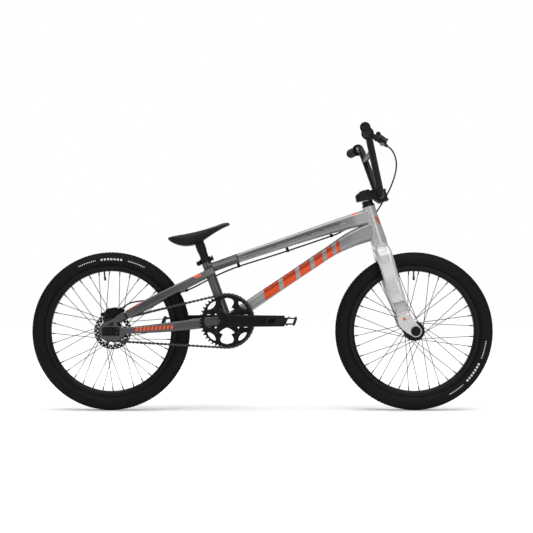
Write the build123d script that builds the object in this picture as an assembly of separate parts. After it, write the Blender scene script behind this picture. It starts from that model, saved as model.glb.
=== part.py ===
from build123d import *
import math
import os

# BMX race bike with 20 inch wheels and a hydraulic rear disc brake. Millimetres.
# +X is forward, +Y is the rider's left, +Z is up.
# The origin is the point on the ground midway between the two axles.

# ---- driving dimensions ----
WHEEL_R = 253.0             # outer radius of a 20 x 1.95 tyre
WHEELBASE = 970.0
HEAD_ANGLE = 74.0           # steering axis from the horizontal
HEAD_BOTTOM = (374.5, 534.7)  # x and z of the lower end of the head tube
HEAD_LENGTH = 122.5
SEAT_ANGLE = 70.0
SEAT_TUBE_LENGTH = 212.0    # bottom bracket centre to the clamp
BB_DROP_Z = 285.5           # height of the bottom bracket
CRANK_LENGTH = 170.0
CHAINRING_TEETH = 42
COG_TEETH = 15
CHAIN_PITCH = 12.7
CHAIN_LINKS = 88
CHAIN_LINE = 45.0           # chain centre to the bike's middle plane
SPOKES = 36
FORK_LEG_Y = 57.0
DROPOUT_Y = 58.0            # middle of each rear dropout plate
DROPOUT_T = 8.0
BAR_R = 11.1
GRIP_R = 15.5
STEERER_R = 14.29
AXLE_R = 7.5
PEDAL_AXLE_R = 6.0
HOSE_R = 2.5
CALIPER_AT = (-487.0, 309.0)  # x and z of the brake caliper's middle
CALIPER_TILT = 14.0
CALIPER_BOLTS = ((-519.0, 305.5), (-455.0, 318.0))
RUNNING = 0.05              # radial clearance of a running fit

AXLE_Z = WHEEL_R
REAR_X = -WHEELBASE / 2
FRONT_X = WHEELBASE / 2
RING_R = CHAIN_PITCH / 2 / math.sin(math.pi / CHAINRING_TEETH)
COG_R = CHAIN_PITCH / 2 / math.sin(math.pi / COG_TEETH)


def chain_links_for(centres):
    """Number of links in a loop round both sprockets, for a distance between centres."""
    lean = math.asin((RING_R - COG_R) / centres)
    straight = math.sqrt(centres**2 - (RING_R - COG_R) ** 2)
    ring_share = 0.5 + lean / math.pi
    return 2 * straight / CHAIN_PITCH + CHAINRING_TEETH * ring_share + COG_TEETH * (1 - ring_share)


def chain_centres():
    """Distance between the two centres at which the loop holds exactly CHAIN_LINKS."""
    low, high = 300.0, 450.0
    while high - low > 1e-9:
        middle = (low + high) / 2
        if chain_links_for(middle) < CHAIN_LINKS:
            low = middle
        else:
            high = middle
    return low


CENTRES = chain_centres()
BB_X = REAR_X + math.sqrt(CENTRES**2 - (BB_DROP_Z - AXLE_Z) ** 2)
BB_Z = BB_DROP_Z


def cosd(angle):
    return math.cos(math.radians(angle))


def sind(angle):
    return math.sin(math.radians(angle))


# Local frame of the fork and bars: x forward, y left, z up the steering axis,
# with its origin at the lower end of the head tube.
STEER = Plane(
    origin=(HEAD_BOTTOM[0], 0, HEAD_BOTTOM[1]),
    x_dir=(sind(HEAD_ANGLE), 0, cosd(HEAD_ANGLE)),
    z_dir=(-cosd(HEAD_ANGLE), 0, sind(HEAD_ANGLE)),
)
# Local frame of the seat: z up the seat tube from the bottom bracket centre, x forward.
FORK_LENGTH = (HEAD_BOTTOM[1] - AXLE_Z) * sind(HEAD_ANGLE) + (FRONT_X - HEAD_BOTTOM[0]) * cosd(HEAD_ANGLE)
RAKE = (FRONT_X - HEAD_BOTTOM[0]) * sind(HEAD_ANGLE) - (HEAD_BOTTOM[1] - AXLE_Z) * cosd(HEAD_ANGLE)
SEAT = Plane(
    origin=(BB_X, 0, BB_Z),
    x_dir=(sind(SEAT_ANGLE), 0, cosd(SEAT_ANGLE)),
    z_dir=(-cosd(SEAT_ANGLE), 0, sind(SEAT_ANGLE)),
)
REAR = Pos(REAR_X, 0, AXLE_Z)
FRONT = Pos(FRONT_X, 0, AXLE_Z)
CRANK = Pos(BB_X, 0, BB_Z)


# ---- small helpers ----
def rod(start, end, radius):
    """Straight round bar between two points."""
    start, end = Vector(start), Vector(end)
    along = end - start
    return Plane(origin=start, z_dir=along.normalized()) * Cylinder(
        radius, along.length, align=(Align.CENTER, Align.CENTER, Align.MIN)
    )


def cross_rod(x, z, radius, y_low, y_high):
    """Round bar along Y."""
    return rod((x, y_low, z), (x, y_high, z), radius)


def ring(outer, inner, y_low, y_high):
    """Ring about the Y axis."""
    return cross_rod(0, 0, outer, y_low, y_high) - cross_rod(0, 0, inner, y_low - 1, y_high + 1)


def hex_socket(centre, direction, inscribed, depth):
    """Six-sided key socket about a centre, cut to a depth each way."""
    return Plane(origin=centre, z_dir=direction) * extrude(RegularPolygon(inscribed, 6), depth, both=True)


def block(x, y, z):
    """Box from three (low, high) pairs."""
    return Pos(sum(x) / 2, sum(y) / 2, sum(z) / 2) * Box(x[1] - x[0], y[1] - y[0], z[1] - z[0])


def side_face(points):
    """Flat face in the XZ plane from (x, z) points."""
    return make_face(Polyline(*[(x, 0, z) for x, z in points], close=True))


def side_plate(face, y_low, y_high):
    """Plate with an outline in the XZ plane."""
    return Pos(0, y_low, 0) * extrude(face, amount=y_high - y_low, dir=(0, 1, 0))


def spun(points):
    """Solid of revolution about the Y axis from (radius, y) points."""
    outline = make_face(Polyline(*[(r, y, 0) for r, y in points], close=True))
    return revolve(outline, Axis.Y)


def station(centre, toward, depth, width, corner):
    """Rounded section of a frame tube: depth lies in the upright plane, width across it."""
    toward = Vector(*toward).normalized()
    across = toward.cross(Vector(0, 1, 0)).normalized()
    up = across if across.Z > 0 else -across
    face = RectangleRounded(depth, width, corner)
    return Plane(origin=centre, x_dir=up, z_dir=toward) * face


def skin(sections, straight):
    """Solid through the sections: flat sides up to number straight, smooth ones after it."""
    if straight == 1:
        return loft(sections)
    return loft(sections[:straight], ruled=True) + loft(sections[straight - 1:])


def tube(stations, wall, side_wall=None, straight=1):
    """Hollow tube through (centre, depth, width, corner) stations, and its filled envelope."""
    side_wall = side_wall or wall
    centres = [Vector(*s[0]) for s in stations]
    outer, inner = [], []
    for number, (centre, depth, width, corner) in enumerate(stations):
        before = centres[max(number - 1, 0)]
        after = centres[min(number + 1, len(centres) - 1)]
        toward = after - before
        outer.append(station(centre, toward, depth, width, corner))
        inner_corner = max(corner - wall, 2.0)
        inner.append(
            station(centre, toward, depth - 2 * wall, width - 2 * side_wall, inner_corner)
        )
    filled = skin(outer, straight)
    return filled - skin(inner, straight), filled


def mirrored(shape):
    return mirror(shape, about=Plane.XZ)


def both_sides(shape):
    return Compound(children=[solid for side in (shape, mirrored(shape)) for solid in side.solids()])


def save(name, shape):
    """Write one node, as a compound of its separate solids."""
    export_step(Compound(children=list(shape.solids())), f"parts/{name}.step")


def group(*shapes):
    return Compound(children=[solid for shape in shapes for solid in shape.solids()])


# ---- frame ----
def head_tube():
    """Tapered head tube with a bearing seat at each end. Returns the tube and its envelope."""
    outer_profile = [
        (0, 0), (26.0, 0), (26.0, 14), (24.6, 34), (21.6, 74), (20.4, 100), (20.4, HEAD_LENGTH),
        (0, HEAD_LENGTH),
    ]
    outer = revolve(make_face(Polyline(*[(r, 0, z) for r, z in outer_profile], close=True)), Axis.Z)
    bore = Pos(0, 0, HEAD_LENGTH / 2) * Cylinder(16.5, HEAD_LENGTH + 2)
    lower_seat = Pos(0, 0, 4.0) * Cylinder(22.5, 8.0)
    upper_seat = Pos(0, 0, HEAD_LENGTH - 3.5) * Cylinder(18.5, 7.0)
    return STEER * (outer - bore - lower_seat - upper_seat), STEER * outer


def headset_bearings():
    lower = Pos(0, 0, 4.0) * (Cylinder(22.5, 8.0) - Cylinder(16.0, 10))
    upper = Pos(0, 0, HEAD_LENGTH - 3.5) * (Cylinder(18.5, 7.0) - Cylinder(STEERER_R + RUNNING, 10))
    return STEER * group(lower, upper)


def down_tube():
    """Down tube, straight for most of its length and deeper towards the head tube."""
    stations = [
        ((-100, 0, 295.5), 40, 44, 15),
        ((0, 0, 363.0), 38, 45, 15),
        ((100, 0, 430.5), 37, 46, 15),
        ((190, 0, 491.2), 37.5, 47, 15),
        ((238, 0, 521.5), 41, 48, 15),
        ((290, 0, 549.0), 51, 48, 16),
        ((330, 0, 565.5), 57, 46, 17),
        ((366, 0, 578.0), 60, 44, 17),
    ]
    return tube(stations, 2.2, straight=4)


def top_tube():
    """Top tube with a shallow moulded groove along each side."""
    stations = [
        ((-182, 0, 448.5), 31, 33, 11),
        ((-69, 0, 489.6), 30, 36, 11),
        ((81, 0, 539.6), 33.5, 40, 12),
        ((238, 0, 590.6), 41, 43, 13),
        ((352, 0, 623.0), 50, 37, 14),
    ]
    hollow, filled = tube(stations, 2.2, 4.4)
    start, start_r = Vector(-62, 24.1, 495.4), 9.0
    end, end_r = Vector(262, 31.2, 604.6), 13.0
    along = (end - start).normalized()
    rear_circle = Plane(origin=start, z_dir=along) * Circle(start_r)
    front_circle = Plane(origin=end, z_dir=along) * Circle(end_r)
    cutter = loft([rear_circle, front_circle])
    for piece in (cutter, Pos(*start) * Sphere(start_r), Pos(*end) * Sphere(end_r)):
        hollow = hollow - piece - mirrored(piece)
    return hollow, filled


def seat_tube_envelope():
    return SEAT * (Pos(0, 0, SEAT_TUBE_LENGTH / 2) * Cylinder(15.9, SEAT_TUBE_LENGTH))


def chainstay():
    """Left chainstay, from the dropout to the bottom bracket shell."""
    stations = [
        ((-441, DROPOUT_Y - 0.5, 254.0), 21, 12, 5),
        ((-400, 57.0, 257.0), 23, 16, 7),
        ((-326, 50.0, 263.3), 28.5, 17, 7.5),
        ((-222, 34.5, 274.6), 33, 17, 7.5),
        ((-120, 27.0, 283.5), 31, 18, 7.5),
    ]
    return tube(stations, 1.8)


def seatstay():
    """Left seatstay, from the dropout to the side of the seat tube."""
    stations = [
        ((-430, DROPOUT_Y - 0.5, 305.0), 25, 12, 5),
        ((-359, 54.5, 344.0), 28, 15, 6.5),
        ((-277, 41.0, 386.5), 26, 15, 6.5),
        ((-215, 27.0, 417.5), 25, 15, 6.5),
        ((-158, 13.5, 446.0), 25, 14, 6),
    ]
    return tube(stations, 1.8)


def dropout_plate(with_caliper_tab):
    """Slotted plate that joins the stays and holds the axle's sliding block."""
    outline = [
        (-518, 246), (-508, 228), (-492, 225), (-456, 225), (-440, 237), (-438, 243.5),
        (-438, 264.5), (-455, 268), (-463, 279), (-432, 294), (-444, 314), (-474, 291),
        (-503, 279), (-516, 264),
    ]
    face = side_face(outline)
    face = fillet(face.vertices().filter_by(lambda v: v.X < -500 or v.Z < 230), 8)
    plate = side_plate(face, DROPOUT_Y - DROPOUT_T / 2, DROPOUT_Y + DROPOUT_T / 2)
    window = side_face([(-508, 238.5), (-452, 238.5), (-452, 266.5), (-508, 266.5)])
    window = fillet(window.vertices(), 6)
    gusset_hole = fillet(side_face([(-494, 270.5), (-471, 270.5), (-473, 284)]).vertices(), 1.5)
    plate -= side_plate(window, 40, 70) + side_plate(gusset_hole, 40, 70)
    if with_caliper_tab:
        tab = side_face([
            (-508, 277), (-452, 300), (-447, 322), (-462, 326), (-470, 300), (-503, 296), (-512, 314),
            (-524, 310),
        ])
        plate += side_plate(tab, DROPOUT_Y - DROPOUT_T / 2, DROPOUT_Y + DROPOUT_T / 2)
        for x, z in CALIPER_BOLTS:
            plate -= cross_rod(x, z, 2.55, 40, 70)
    return plate


def bottom_bracket_shell():
    filled = CRANK * cross_rod(0, 0, 22.0, -36.5, 36.5)
    return filled - CRANK * cross_rod(0, 0, 17.5, -40, 40), filled


def bottom_bracket_cups():
    """Threaded cups that stand outside the shell and hold the spindle's bearings."""
    cup = ring(17.5, 12 + RUNNING, 22, 36.5) + ring(21.5, 12 + RUNNING, 36.5, 44.5)
    return CRANK * both_sides(cup)


def build_frame():
    """Mitre the tubes against each other, so that each node is its own solid."""
    head, head_filled = head_tube()
    down, down_filled = down_tube()
    top, top_filled = top_tube()
    shell, shell_filled = bottom_bracket_shell()
    seat_filled = seat_tube_envelope()
    seat_bore = SEAT * (Pos(0, 0, 150) * Cylinder(13.6 + RUNNING, 300))
    stay_low, stay_low_filled = chainstay()
    stay_high, stay_high_filled = seatstay()
    plate_left = dropout_plate(True)
    plate_right = mirrored(dropout_plate(False))
    bridge_low = cross_rod(-206, 277, 7.5, -40, 40)
    bridge_high = cross_rod(-224, 412, 7.5, -36, 36)

    seat = seat_filled - seat_bore - shell_filled
    down = down - head_filled - shell_filled - seat_filled
    top = top - head_filled - down_filled - seat_filled
    low_stays = [side - shell_filled - seat_filled - plates for side, plates in (
        (stay_low, plate_left), (mirrored(stay_low), plate_right))]
    high_stays = [side - seat_filled - top_filled - plates for side, plates in (
        (stay_high, plate_left), (mirrored(stay_high), plate_right))]
    low_envelopes = stay_low_filled + mirrored(stay_low_filled)
    high_envelopes = stay_high_filled + mirrored(stay_high_filled)
    bridges = group(bridge_low - low_envelopes, bridge_high - high_envelopes - seat_filled)
    save("head_tube", head)
    save("down_tube", largest(down))
    save("top_tube", largest(top))
    save("seat_tube", largest(seat))
    save("bottom_bracket_shell", shell)
    save("chainstays", group(*[largest(stay) for stay in low_stays]))
    save("seatstays", group(*[largest(stay) for stay in high_stays]))
    save("rear_dropouts", group(plate_left, plate_right))
    save("stay_bridges", group(*sorted(bridges.solids(), key=lambda s: -s.volume)[:2]))
    return top_filled, stay_high_filled


# ---- saddle and seat post ----
TILT_AT = (BB_X - 0.342 * 276, BB_Z + 0.9397 * 276)  # x and z of the saddle's tilt pivot
SADDLE_STATIONS = [
    # x, top z, bottom z, half width
    (-303.5, 551.5, 547.0, 16),
    (-290, 555.5, 536.5, 36),
    (-262, 560.5, 527.0, 46),
    (-235, 566.0, 526.0, 41),
    (-205, 573.5, 535.0, 29),
    (-180, 581.0, 550.0, 20),
    (-150, 591.0, 570.0, 15.5),
    (-120, 600.5, 586.5, 12.5),
    (-106, 598.5, 592.0, 8),
]


def saddle_envelope():
    """Whole saddle as one filled form, narrow at the nose and wide at the rear."""
    sections = []
    for x, top, bottom, half in SADDLE_STATIONS:
        height = top - bottom
        face = RectangleRounded(height, 2 * half, min(height, 2 * half) * 0.49)
        where = Plane(origin=(x, 0, (top + bottom) / 2), x_dir=(0, 0, 1), z_dir=(1, 0, 0))
        sections.append(where * face)
    return loft(sections)


def save_saddle():
    """Moulded base with a pivot boss below, a padded top, and the bolt through both."""
    filled = saddle_envelope()
    x, z = TILT_AT
    above = side_plate(side_face([(-330, 538.6), (-80, 601.1), (-80, 660), (-330, 660)]), -60, 60)
    boss = cross_rod(x, z, 18.0, -11, 11)
    slot = SEAT * (Pos(0, 0, 290) * Cylinder(3.0 + RUNNING, 80))
    recess = SEAT * (Pos(0, 0, 300) * Cylinder(6.0, 24))
    save("saddle_pad", largest(filled & above) - slot - recess)
    save("saddle_shell", largest((filled - above) + (boss - above)) - slot - recess)
    shank = Pos(0, 0, 245) * Cylinder(3.0, 43, align=(Align.CENTER, Align.CENTER, Align.MIN))
    head = Pos(0, 0, 288) * Cylinder(5.6, 7, align=(Align.CENTER, Align.CENTER, Align.MIN))
    key = Pos(0, 0, 296) * extrude(RegularPolygon(2.5, 6), 4, both=True)
    wedge = Pos(0, 0, 240) * Cylinder(8.0, 6, align=(Align.CENTER, Align.CENTER, Align.MIN))
    save("saddle_bolt", SEAT * group(shank + head - key, wedge - Cylinder(3.0, 900)))


def seat_post():
    """Straight post with a concave head that the saddle's boss rests in."""
    shaft = Pos(0, 0, 112) * Cylinder(13.6, 140, align=(Align.CENTER, Align.CENTER, Align.MIN))
    head = Pos(0, 0, 240) * Cylinder(15.5, 24, align=(Align.CENTER, Align.CENTER, Align.MIN))
    neck = Pos(0, 0, 232) * Cone(13.6, 15.5, 8, align=(Align.CENTER, Align.CENTER, Align.MIN))
    bore = Pos(0, 0, 111) * Cylinder(11.2, 137, align=(Align.CENTER, Align.CENTER, Align.MIN))
    slot = Pos(0, 0, 255) * Box(16, 7, 60)
    cradle = Plane.XZ * Cylinder(18.0 + RUNNING, 80)
    post = SEAT * (shaft + head + neck - bore - slot)
    return post - Pos(TILT_AT[0], 0, TILT_AT[1]) * cradle


def seat_clamp_collar():
    """Split collar round the seat tube, with two ears behind and the clamp's cross pin."""
    low = SEAT_TUBE_LENGTH - 13
    collar = Pos(0, 0, low) * Cylinder(20.0, 13, align=(Align.CENTER, Align.CENTER, Align.MIN))
    ears = Pos(-23, 0, low + 6) * Box(15, 14, 12)
    lip = Pos(0, 0, SEAT_TUBE_LENGTH) * Cylinder(18.5, 2.5, align=(Align.CENTER, Align.CENTER, Align.MIN))
    inside = Pos(0, 0, low - 1) * Cylinder(15.9, 14, align=(Align.CENTER, Align.CENTER, Align.MIN))
    through = Pos(0, 0, low) * Cylinder(13.6 + RUNNING, 60)
    split = Pos(-25, 0, low) * Box(30, 3, 60)
    pin_hole = Pos(-24, 0, low + 6) * Rot(90, 0, 0) * Cylinder(2.5, 60)
    body = collar + ears + lip - inside - through - split - pin_hole
    pin = Pos(-24, 3.5, low + 6) * Rot(90, 0, 0) * Cylinder(2.5, 33)
    nut = Pos(-24, -11, low + 6) * Rot(90, 0, 0) * Cylinder(5.5, 7.8)
    yoke = Pos(-24, 18.5, low + 6) * Box(8, 5, 5)
    pivot_hole = Pos(-24, 18.5, low + 6) * Cylinder(1.5 + RUNNING, 20)
    pin_body = (pin + yoke) - pivot_hole
    return SEAT * group(body, pin_body, nut - Pos(-24, 0, low + 6) * Rot(90, 0, 0) * Cylinder(2.5, 60))


def seat_clamp_lever():
    """Cam lever of the clamp, closed forward along the left of the collar."""
    low = SEAT_TUBE_LENGTH - 13
    fork = Pos(-24, 18.5, low + 6) * Cylinder(5.2, 14)
    fork -= Pos(-24, 18.5, low + 6) * Box(14, 14, 5.4)
    hinge_pin = Pos(-24, 18.5, low + 6) * Cylinder(1.5, 16)
    path = Spline((-20.5, 21.5), (-6, 25.5), (12, 22.5), (22.5, 12.5), tangents=((1, 0.4), (0.6, -1)))
    outer = trace(path, 4.6)
    arm = Pos(0, 0, low + 0.5) * extrude(outer, 11)
    arm -= Pos(-24, 18.5, low + 6) * Box(15, 12, 5.4)
    tip = Pos(23.5, 10.5, low + 8) * Box(4.5, 5, 16)
    return SEAT * (fork + hinge_pin + arm + tip)


# ---- fork, stem and bars, in the steering frame ----
BAR_AT = (44.0, 143.3)      # x and z of the bar clamp
SWEEP_BACK = 0.118          # grip's fall behind, per unit of width
SWEEP_UP = 0.056
ELBOW_Y = 178.0
ELBOW_Z = 324.8
LOW_BEND_Y = 50.0
CROSSBAR_Z = 279.0
CROSSBAR_R = 8.5
BAR_WALL = 1.8
GRIP_END_Y = 352.0
GRIP_START_Y = 223.0


def grip_point(y):
    """Point on the left grip's centre line."""
    return Vector(BAR_AT[0] + 0.6 - (y - ELBOW_Y) * SWEEP_BACK, y, ELBOW_Z + (y - ELBOW_Y) * SWEEP_UP)


def along_grip(y_start, y_end, radius):
    return rod(grip_point(y_start), grip_point(y_end), radius)


def bar_path():
    half = [
        (BAR_AT[0], LOW_BEND_Y, BAR_AT[1]),
        (BAR_AT[0] + 0.6, ELBOW_Y, ELBOW_Z),
        tuple(grip_point(GRIP_END_Y)),
    ]
    other = [(x, -y, z) for x, y, z in reversed(half)]
    return FilletPolyline(*(other + half), radius=[50, 32, 32, 50])


def handlebar():
    """Riser bar bent from one tube, with a welded crossbar."""
    path = bar_path()
    start = Plane(origin=path @ 0, z_dir=path % 0)
    outer = sweep(start * Circle(BAR_R), path=path)
    inner = sweep(start * Circle(BAR_R - BAR_WALL), path=path)
    rise = (CROSSBAR_Z - BAR_AT[1]) / (ELBOW_Z - BAR_AT[1])
    reach = LOW_BEND_Y + (ELBOW_Y - LOW_BEND_Y) * rise
    crossbar = rod((BAR_AT[0] + 0.4, -reach, CROSSBAR_Z), (BAR_AT[0] + 0.4, reach, CROSSBAR_Z), CROSSBAR_R)
    return STEER * ((outer + crossbar) - inner)


def grip():
    """Left grip: a soft sleeve with an inner flange and low ribs."""
    sleeve = along_grip(GRIP_START_Y, GRIP_END_Y, GRIP_R - 0.8)
    sleeve += along_grip(GRIP_START_Y, GRIP_START_Y + 4, 19.5)
    for number in range(15):
        y = GRIP_START_Y + 10 + number * 7.6
        sleeve += along_grip(y, y + 4.6, GRIP_R)
    sleeve += along_grip(GRIP_END_Y - 7, GRIP_END_Y, GRIP_R + 0.3)
    return sleeve - along_grip(GRIP_START_Y - 2, GRIP_END_Y + 2, BAR_R)


def bar_end_plug():
    plug = along_grip(GRIP_END_Y - 18, GRIP_END_Y + 1, BAR_R - 1.85)
    return plug + along_grip(GRIP_END_Y + 0.05, GRIP_END_Y + 3.5, 13.5)


def stem_profile(points):
    return make_face(Polyline(*[(x, 0, z) for x, z in points], close=True))


def stem_and_cap():
    """Stem body, split at the bar's centre from its front clamp plate."""
    outline = stem_profile([
        (-33, 146), (-31, 168), (-22, 172), (22, 171), (BAR_AT[0] - 4, 167), (BAR_AT[0] + 14, 163),
        (BAR_AT[0] + 21, 152), (BAR_AT[0] + 21, 134), (BAR_AT[0] + 13, 124), (BAR_AT[0] - 8, 121.5), (20, 141),
    ])
    outline = fillet(outline.vertices(), 4)
    body = Pos(0, -24, 0) * extrude(outline, amount=48, dir=(0, 1, 0))
    half = [(-40, -17), (-20, -20), (20, -18), (34, -25), (80, -25)]
    taper = make_face(Polyline(*half, *[(x, -y) for x, y in reversed(half)], close=True))
    taper = fillet(taper.vertices(), 5)
    body = body & Pos(0, 0, 100) * extrude(taper, 100)
    bar = rod((BAR_AT[0], -60, BAR_AT[1]), (BAR_AT[0], 60, BAR_AT[1]), BAR_R)
    steerer = Pos(0, 0, 150) * Cylinder(STEERER_R, 80)
    slot = Pos(-28, 0, 157) * Box(26, 2.5, 60)
    window = Pos(26.5, 0, 150) * Box(13, 26, 60)
    body = body - bar - steerer - slot - window
    front = block((BAR_AT[0] + 0.6, 200), (-50, 50), (60, 220))
    rear = block((-100, BAR_AT[0] - 0.6), (-50, 50), (60, 220))
    return largest(body & rear), largest(body & front)


def stem_bolts():
    """Four bolts through the clamp plate, two pinch bolts, and the top cap's bolt."""
    bolts = []
    for y in (-17, 17):
        for z in (BAR_AT[1] - 15.5, BAR_AT[1] + 15.5):
            shank = rod((BAR_AT[0] - 12, y, z), (BAR_AT[0] + 17, y, z), 2.5)
            head = rod((BAR_AT[0] + 14, y, z), (BAR_AT[0] + 22.5, y, z), 4.2)
            key = hex_socket((BAR_AT[0] + 22.5, y, z), (1, 0, 0), 2.3, 3)
            bolts.append(shank + head - key)
    for z in (150.0, 164.5):
        shank = rod((-24, -14, z), (-24, 14, z), 2.5)
        head = rod((-24, -20.5, z), (-24, -13, z), 4.2)
        key = hex_socket((-24, -20.5, z), (0, 1, 0), 2.3, 3)
        bolts.append(shank + head - key)
    return bolts


def save_stem():
    body, plate = stem_and_cap()
    bolts = stem_bolts()
    for bolt in bolts:
        body = body - bolt
        plate = plate - bolt
    for y in (-17, 17):
        for z in (BAR_AT[1] - 15.5, BAR_AT[1] + 15.5):
            plate = plate - rod((BAR_AT[0] + 14, y, z), (BAR_AT[0] + 30, y, z), 4.2)
    for z in (150.0, 164.5):
        body = body - rod((-24, -30, z), (-24, -13, z), 4.2)
    save("stem", STEER * largest(body))
    save("stem_clamp_plate", STEER * largest(plate))
    save("stem_bolts", STEER * group(*bolts))


def headset_spacers():
    """Bearing cover, spacer, top cap and the cap's bolt."""
    low = HEAD_LENGTH + 0.3
    cover = Pos(0, 0, low) * Cone(21.5, 18.5, 7, align=(Align.CENTER, Align.CENTER, Align.MIN))
    spacer = rod((0, 0, low + 7.05), (0, 0, 140.95), 17.5)
    bore = Pos(0, 0, 150) * Cylinder(STEERER_R, 80)
    cap = Pos(0, 0, 172.1) * Cylinder(17.0, 4, align=(Align.CENTER, Align.CENTER, Align.MIN))
    bolt_hole = Pos(0, 0, 170) * Cylinder(3.0, 40)
    bolt = Pos(0, 0, 140) * Cylinder(3.0, 37.6, align=(Align.CENTER, Align.CENTER, Align.MIN))
    return STEER * group(cover - bore, spacer - bore, cap - bolt_hole, bolt)


def leg_section(centre, toward, depth, width, corner, x):
    toward = Vector(*toward).normalized()
    where = Plane(origin=(x, centre[0], centre[1]), x_dir=(1, 0, 0), z_dir=toward)
    return where * RectangleRounded(depth, width, corner)


def fork():
    """Steerer, crown and two bladed legs with forward dropouts, as one welded piece."""
    y = FORK_LEG_Y
    sections = [
        leg_section((0, -19.5), (0, 1, 0), 49.5, 38, 17, 0),
        leg_section((26, -23.5), (0, 1, -0.32), 50.5, 37, 16, 0),
        leg_section((48, -39), (0, 1, -1.35), 51.5, 31, 13, 0.3),
        leg_section((y, -80), (0, 0.04, -1), 51, 26, 12, 0.7),
        leg_section((y, -150), (0, 0, -1), 48, 24, 11, 1.4),
        leg_section((y - 0.2, -200), (0, 0, -1), 44, 20.5, 9, 4.2),
        leg_section((y - 1, -246), (0, 0, -1), 43.5, 12.8, 6.0, 6.3),
    ]
    inner_sections = [
        leg_section((24, -22.5), (0, 1, -0.32), 42, 28, 12, 0),
        leg_section((48, -40), (0, 1, -1.35), 45, 24, 10, 0.3),
        leg_section((y, -80), (0, 0.04, -1), 45, 20, 9, 0.7),
        leg_section((y, -150), (0, 0, -1), 42, 18, 8, 1.4),
        leg_section((y - 0.7, -232), (0, 0, -1), 37, 8.5, 3.8, 5.7),
    ]
    leg = loft(sections) - loft(inner_sections)
    outline = make_face(Polyline(*[(x, 0, z) for x, z in [
        (-15.6, -243), (-15.0, -272), (0, -298), (17.5, -316.6), (28.6, -301.2), (45, -291), (34, -270),
        (28, -243),
    ]], close=True))
    outline = fillet(outline.vertices().filter_by(lambda v: v.X < 3 and v.Z < -260), 11)
    plate = Pos(0, y - 7, 0) * extrude(outline, amount=12, dir=(0, 1, 0))
    eye = rod((RAKE, y - 7, -FORK_LENGTH), (RAKE, y + 5, -FORK_LENGTH), 19)
    hole = rod((RAKE, y - 20, -FORK_LENGTH), (RAKE, y + 20, -FORK_LENGTH), AXLE_R + RUNNING)
    side = leg + plate + eye - hole
    steerer = Pos(0, 0, -20) * Cylinder(STEERER_R, 192, align=(Align.CENTER, Align.CENTER, Align.MIN))
    race = Pos(0, 0, -21) * Cylinder(26.0, 20.7, align=(Align.CENTER, Align.CENTER, Align.MIN))
    seat = Pos(0, 0, -1) * Cylinder(16.0 - RUNNING, 9, align=(Align.CENTER, Align.CENTER, Align.MIN))
    hollow = Pos(0, 0, 5) * Cylinder(12.3, 200, align=(Align.CENTER, Align.CENTER, Align.MIN))
    top_of_crown = Pos(0, 0, 49.7) * Box(200, 200, 100)
    crown = (side + mirrored(side)) - top_of_crown
    return STEER * (crown + race + seat + steerer - hollow)


def front_axle():
    """Through axle with a shouldered cap at each end."""
    y = FORK_LEG_Y
    axle = cross_rod(0, 0, AXLE_R, -y - 6, y + 6)
    caps = []
    for side in (-1, 1):
        cap = cross_rod(0, 0, 15.5, *sorted((side * (y + 5.05), side * (y + 9))))
        cap -= cross_rod(0, 0, 9.5, *sorted((side * (y + 8), side * (y + 10))))
        cap += cross_rod(0, 0, 7.0, *sorted((side * (y + 5.05), side * (y + 10.5))))
        key = hex_socket((0, side * (y + 10.5), 0), (0, 1, 0), 3.4, 4)
        caps.append(cap - key)
    axle -= cross_rod(0, 0, 5.0, -y + 4, y - 4)
    for cap in caps:
        axle -= cap
    spacers = [ring(10.0, AXLE_R, *sorted((side * 47.5, side * 49.95))) for side in (-1, 1)]
    return FRONT * group(axle, *caps, *spacers)


# ---- brake lever, on the right bar ----
LEVER_PIVOT = (85.0, -224.0, 290.0)
MASTER_AT = (76.0, 298.0)   # x and z of the master cylinder
HOSE_EXIT = (94.0, -148.0, 281.0)


def brake_lever_body():
    """Clamp, arm, master cylinder and its reservoir, and the blade's pivot ears."""
    at = grip_point(211)
    toward = (-SWEEP_BACK, 1, SWEEP_UP)
    clamp_plane = Plane(origin=(at.X, -at.Y, at.Z), z_dir=(toward[0], -toward[1], toward[2]))
    clamp = clamp_plane * Cylinder(15.5, 13)
    arm = loft([
        Plane(origin=(at.X + 10, -211, at.Z - 8), z_dir=(0.79, 0, -0.61)) * RectangleRounded(13, 20, 4),
        Plane(origin=(MASTER_AT[0], -208, MASTER_AT[1]), z_dir=(0.79, 0, -0.61)) * RectangleRounded(24, 17, 5),
    ])
    x, z = MASTER_AT
    cylinder = rod((x, -216, z), (x + 6, -158, z - 6), 9.0)
    nose = rod((x + 6, -158, z - 6), HOSE_EXIT, 5.0)
    reservoir_base = Plane(origin=(x - 7, -190, z + 7), z_dir=(-0.3, 0, 0.95))
    reservoir = reservoir_base * extrude(RectangleRounded(20, 44, 7), 9)
    ears = Plane(origin=LEVER_PIVOT, z_dir=(-0.61, 0, -0.79)) * Cylinder(7.0, 17)
    bracket = rod((x, -212, z), LEVER_PIVOT, 7.5)
    gap = Plane(origin=LEVER_PIVOT, z_dir=(-0.61, 0, -0.79)) * Cylinder(11.5, 9.4)
    pivot_hole = Plane(origin=LEVER_PIVOT, z_dir=(-0.61, 0, -0.79)) * Cylinder(2.0 + RUNNING, 40)
    body = clamp + arm + cylinder + nose + reservoir + bracket + ears - gap - pivot_hole
    bar = along_grip(180, 240, BAR_R)
    return STEER * (largest(body) - mirrored(bar))


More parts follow.
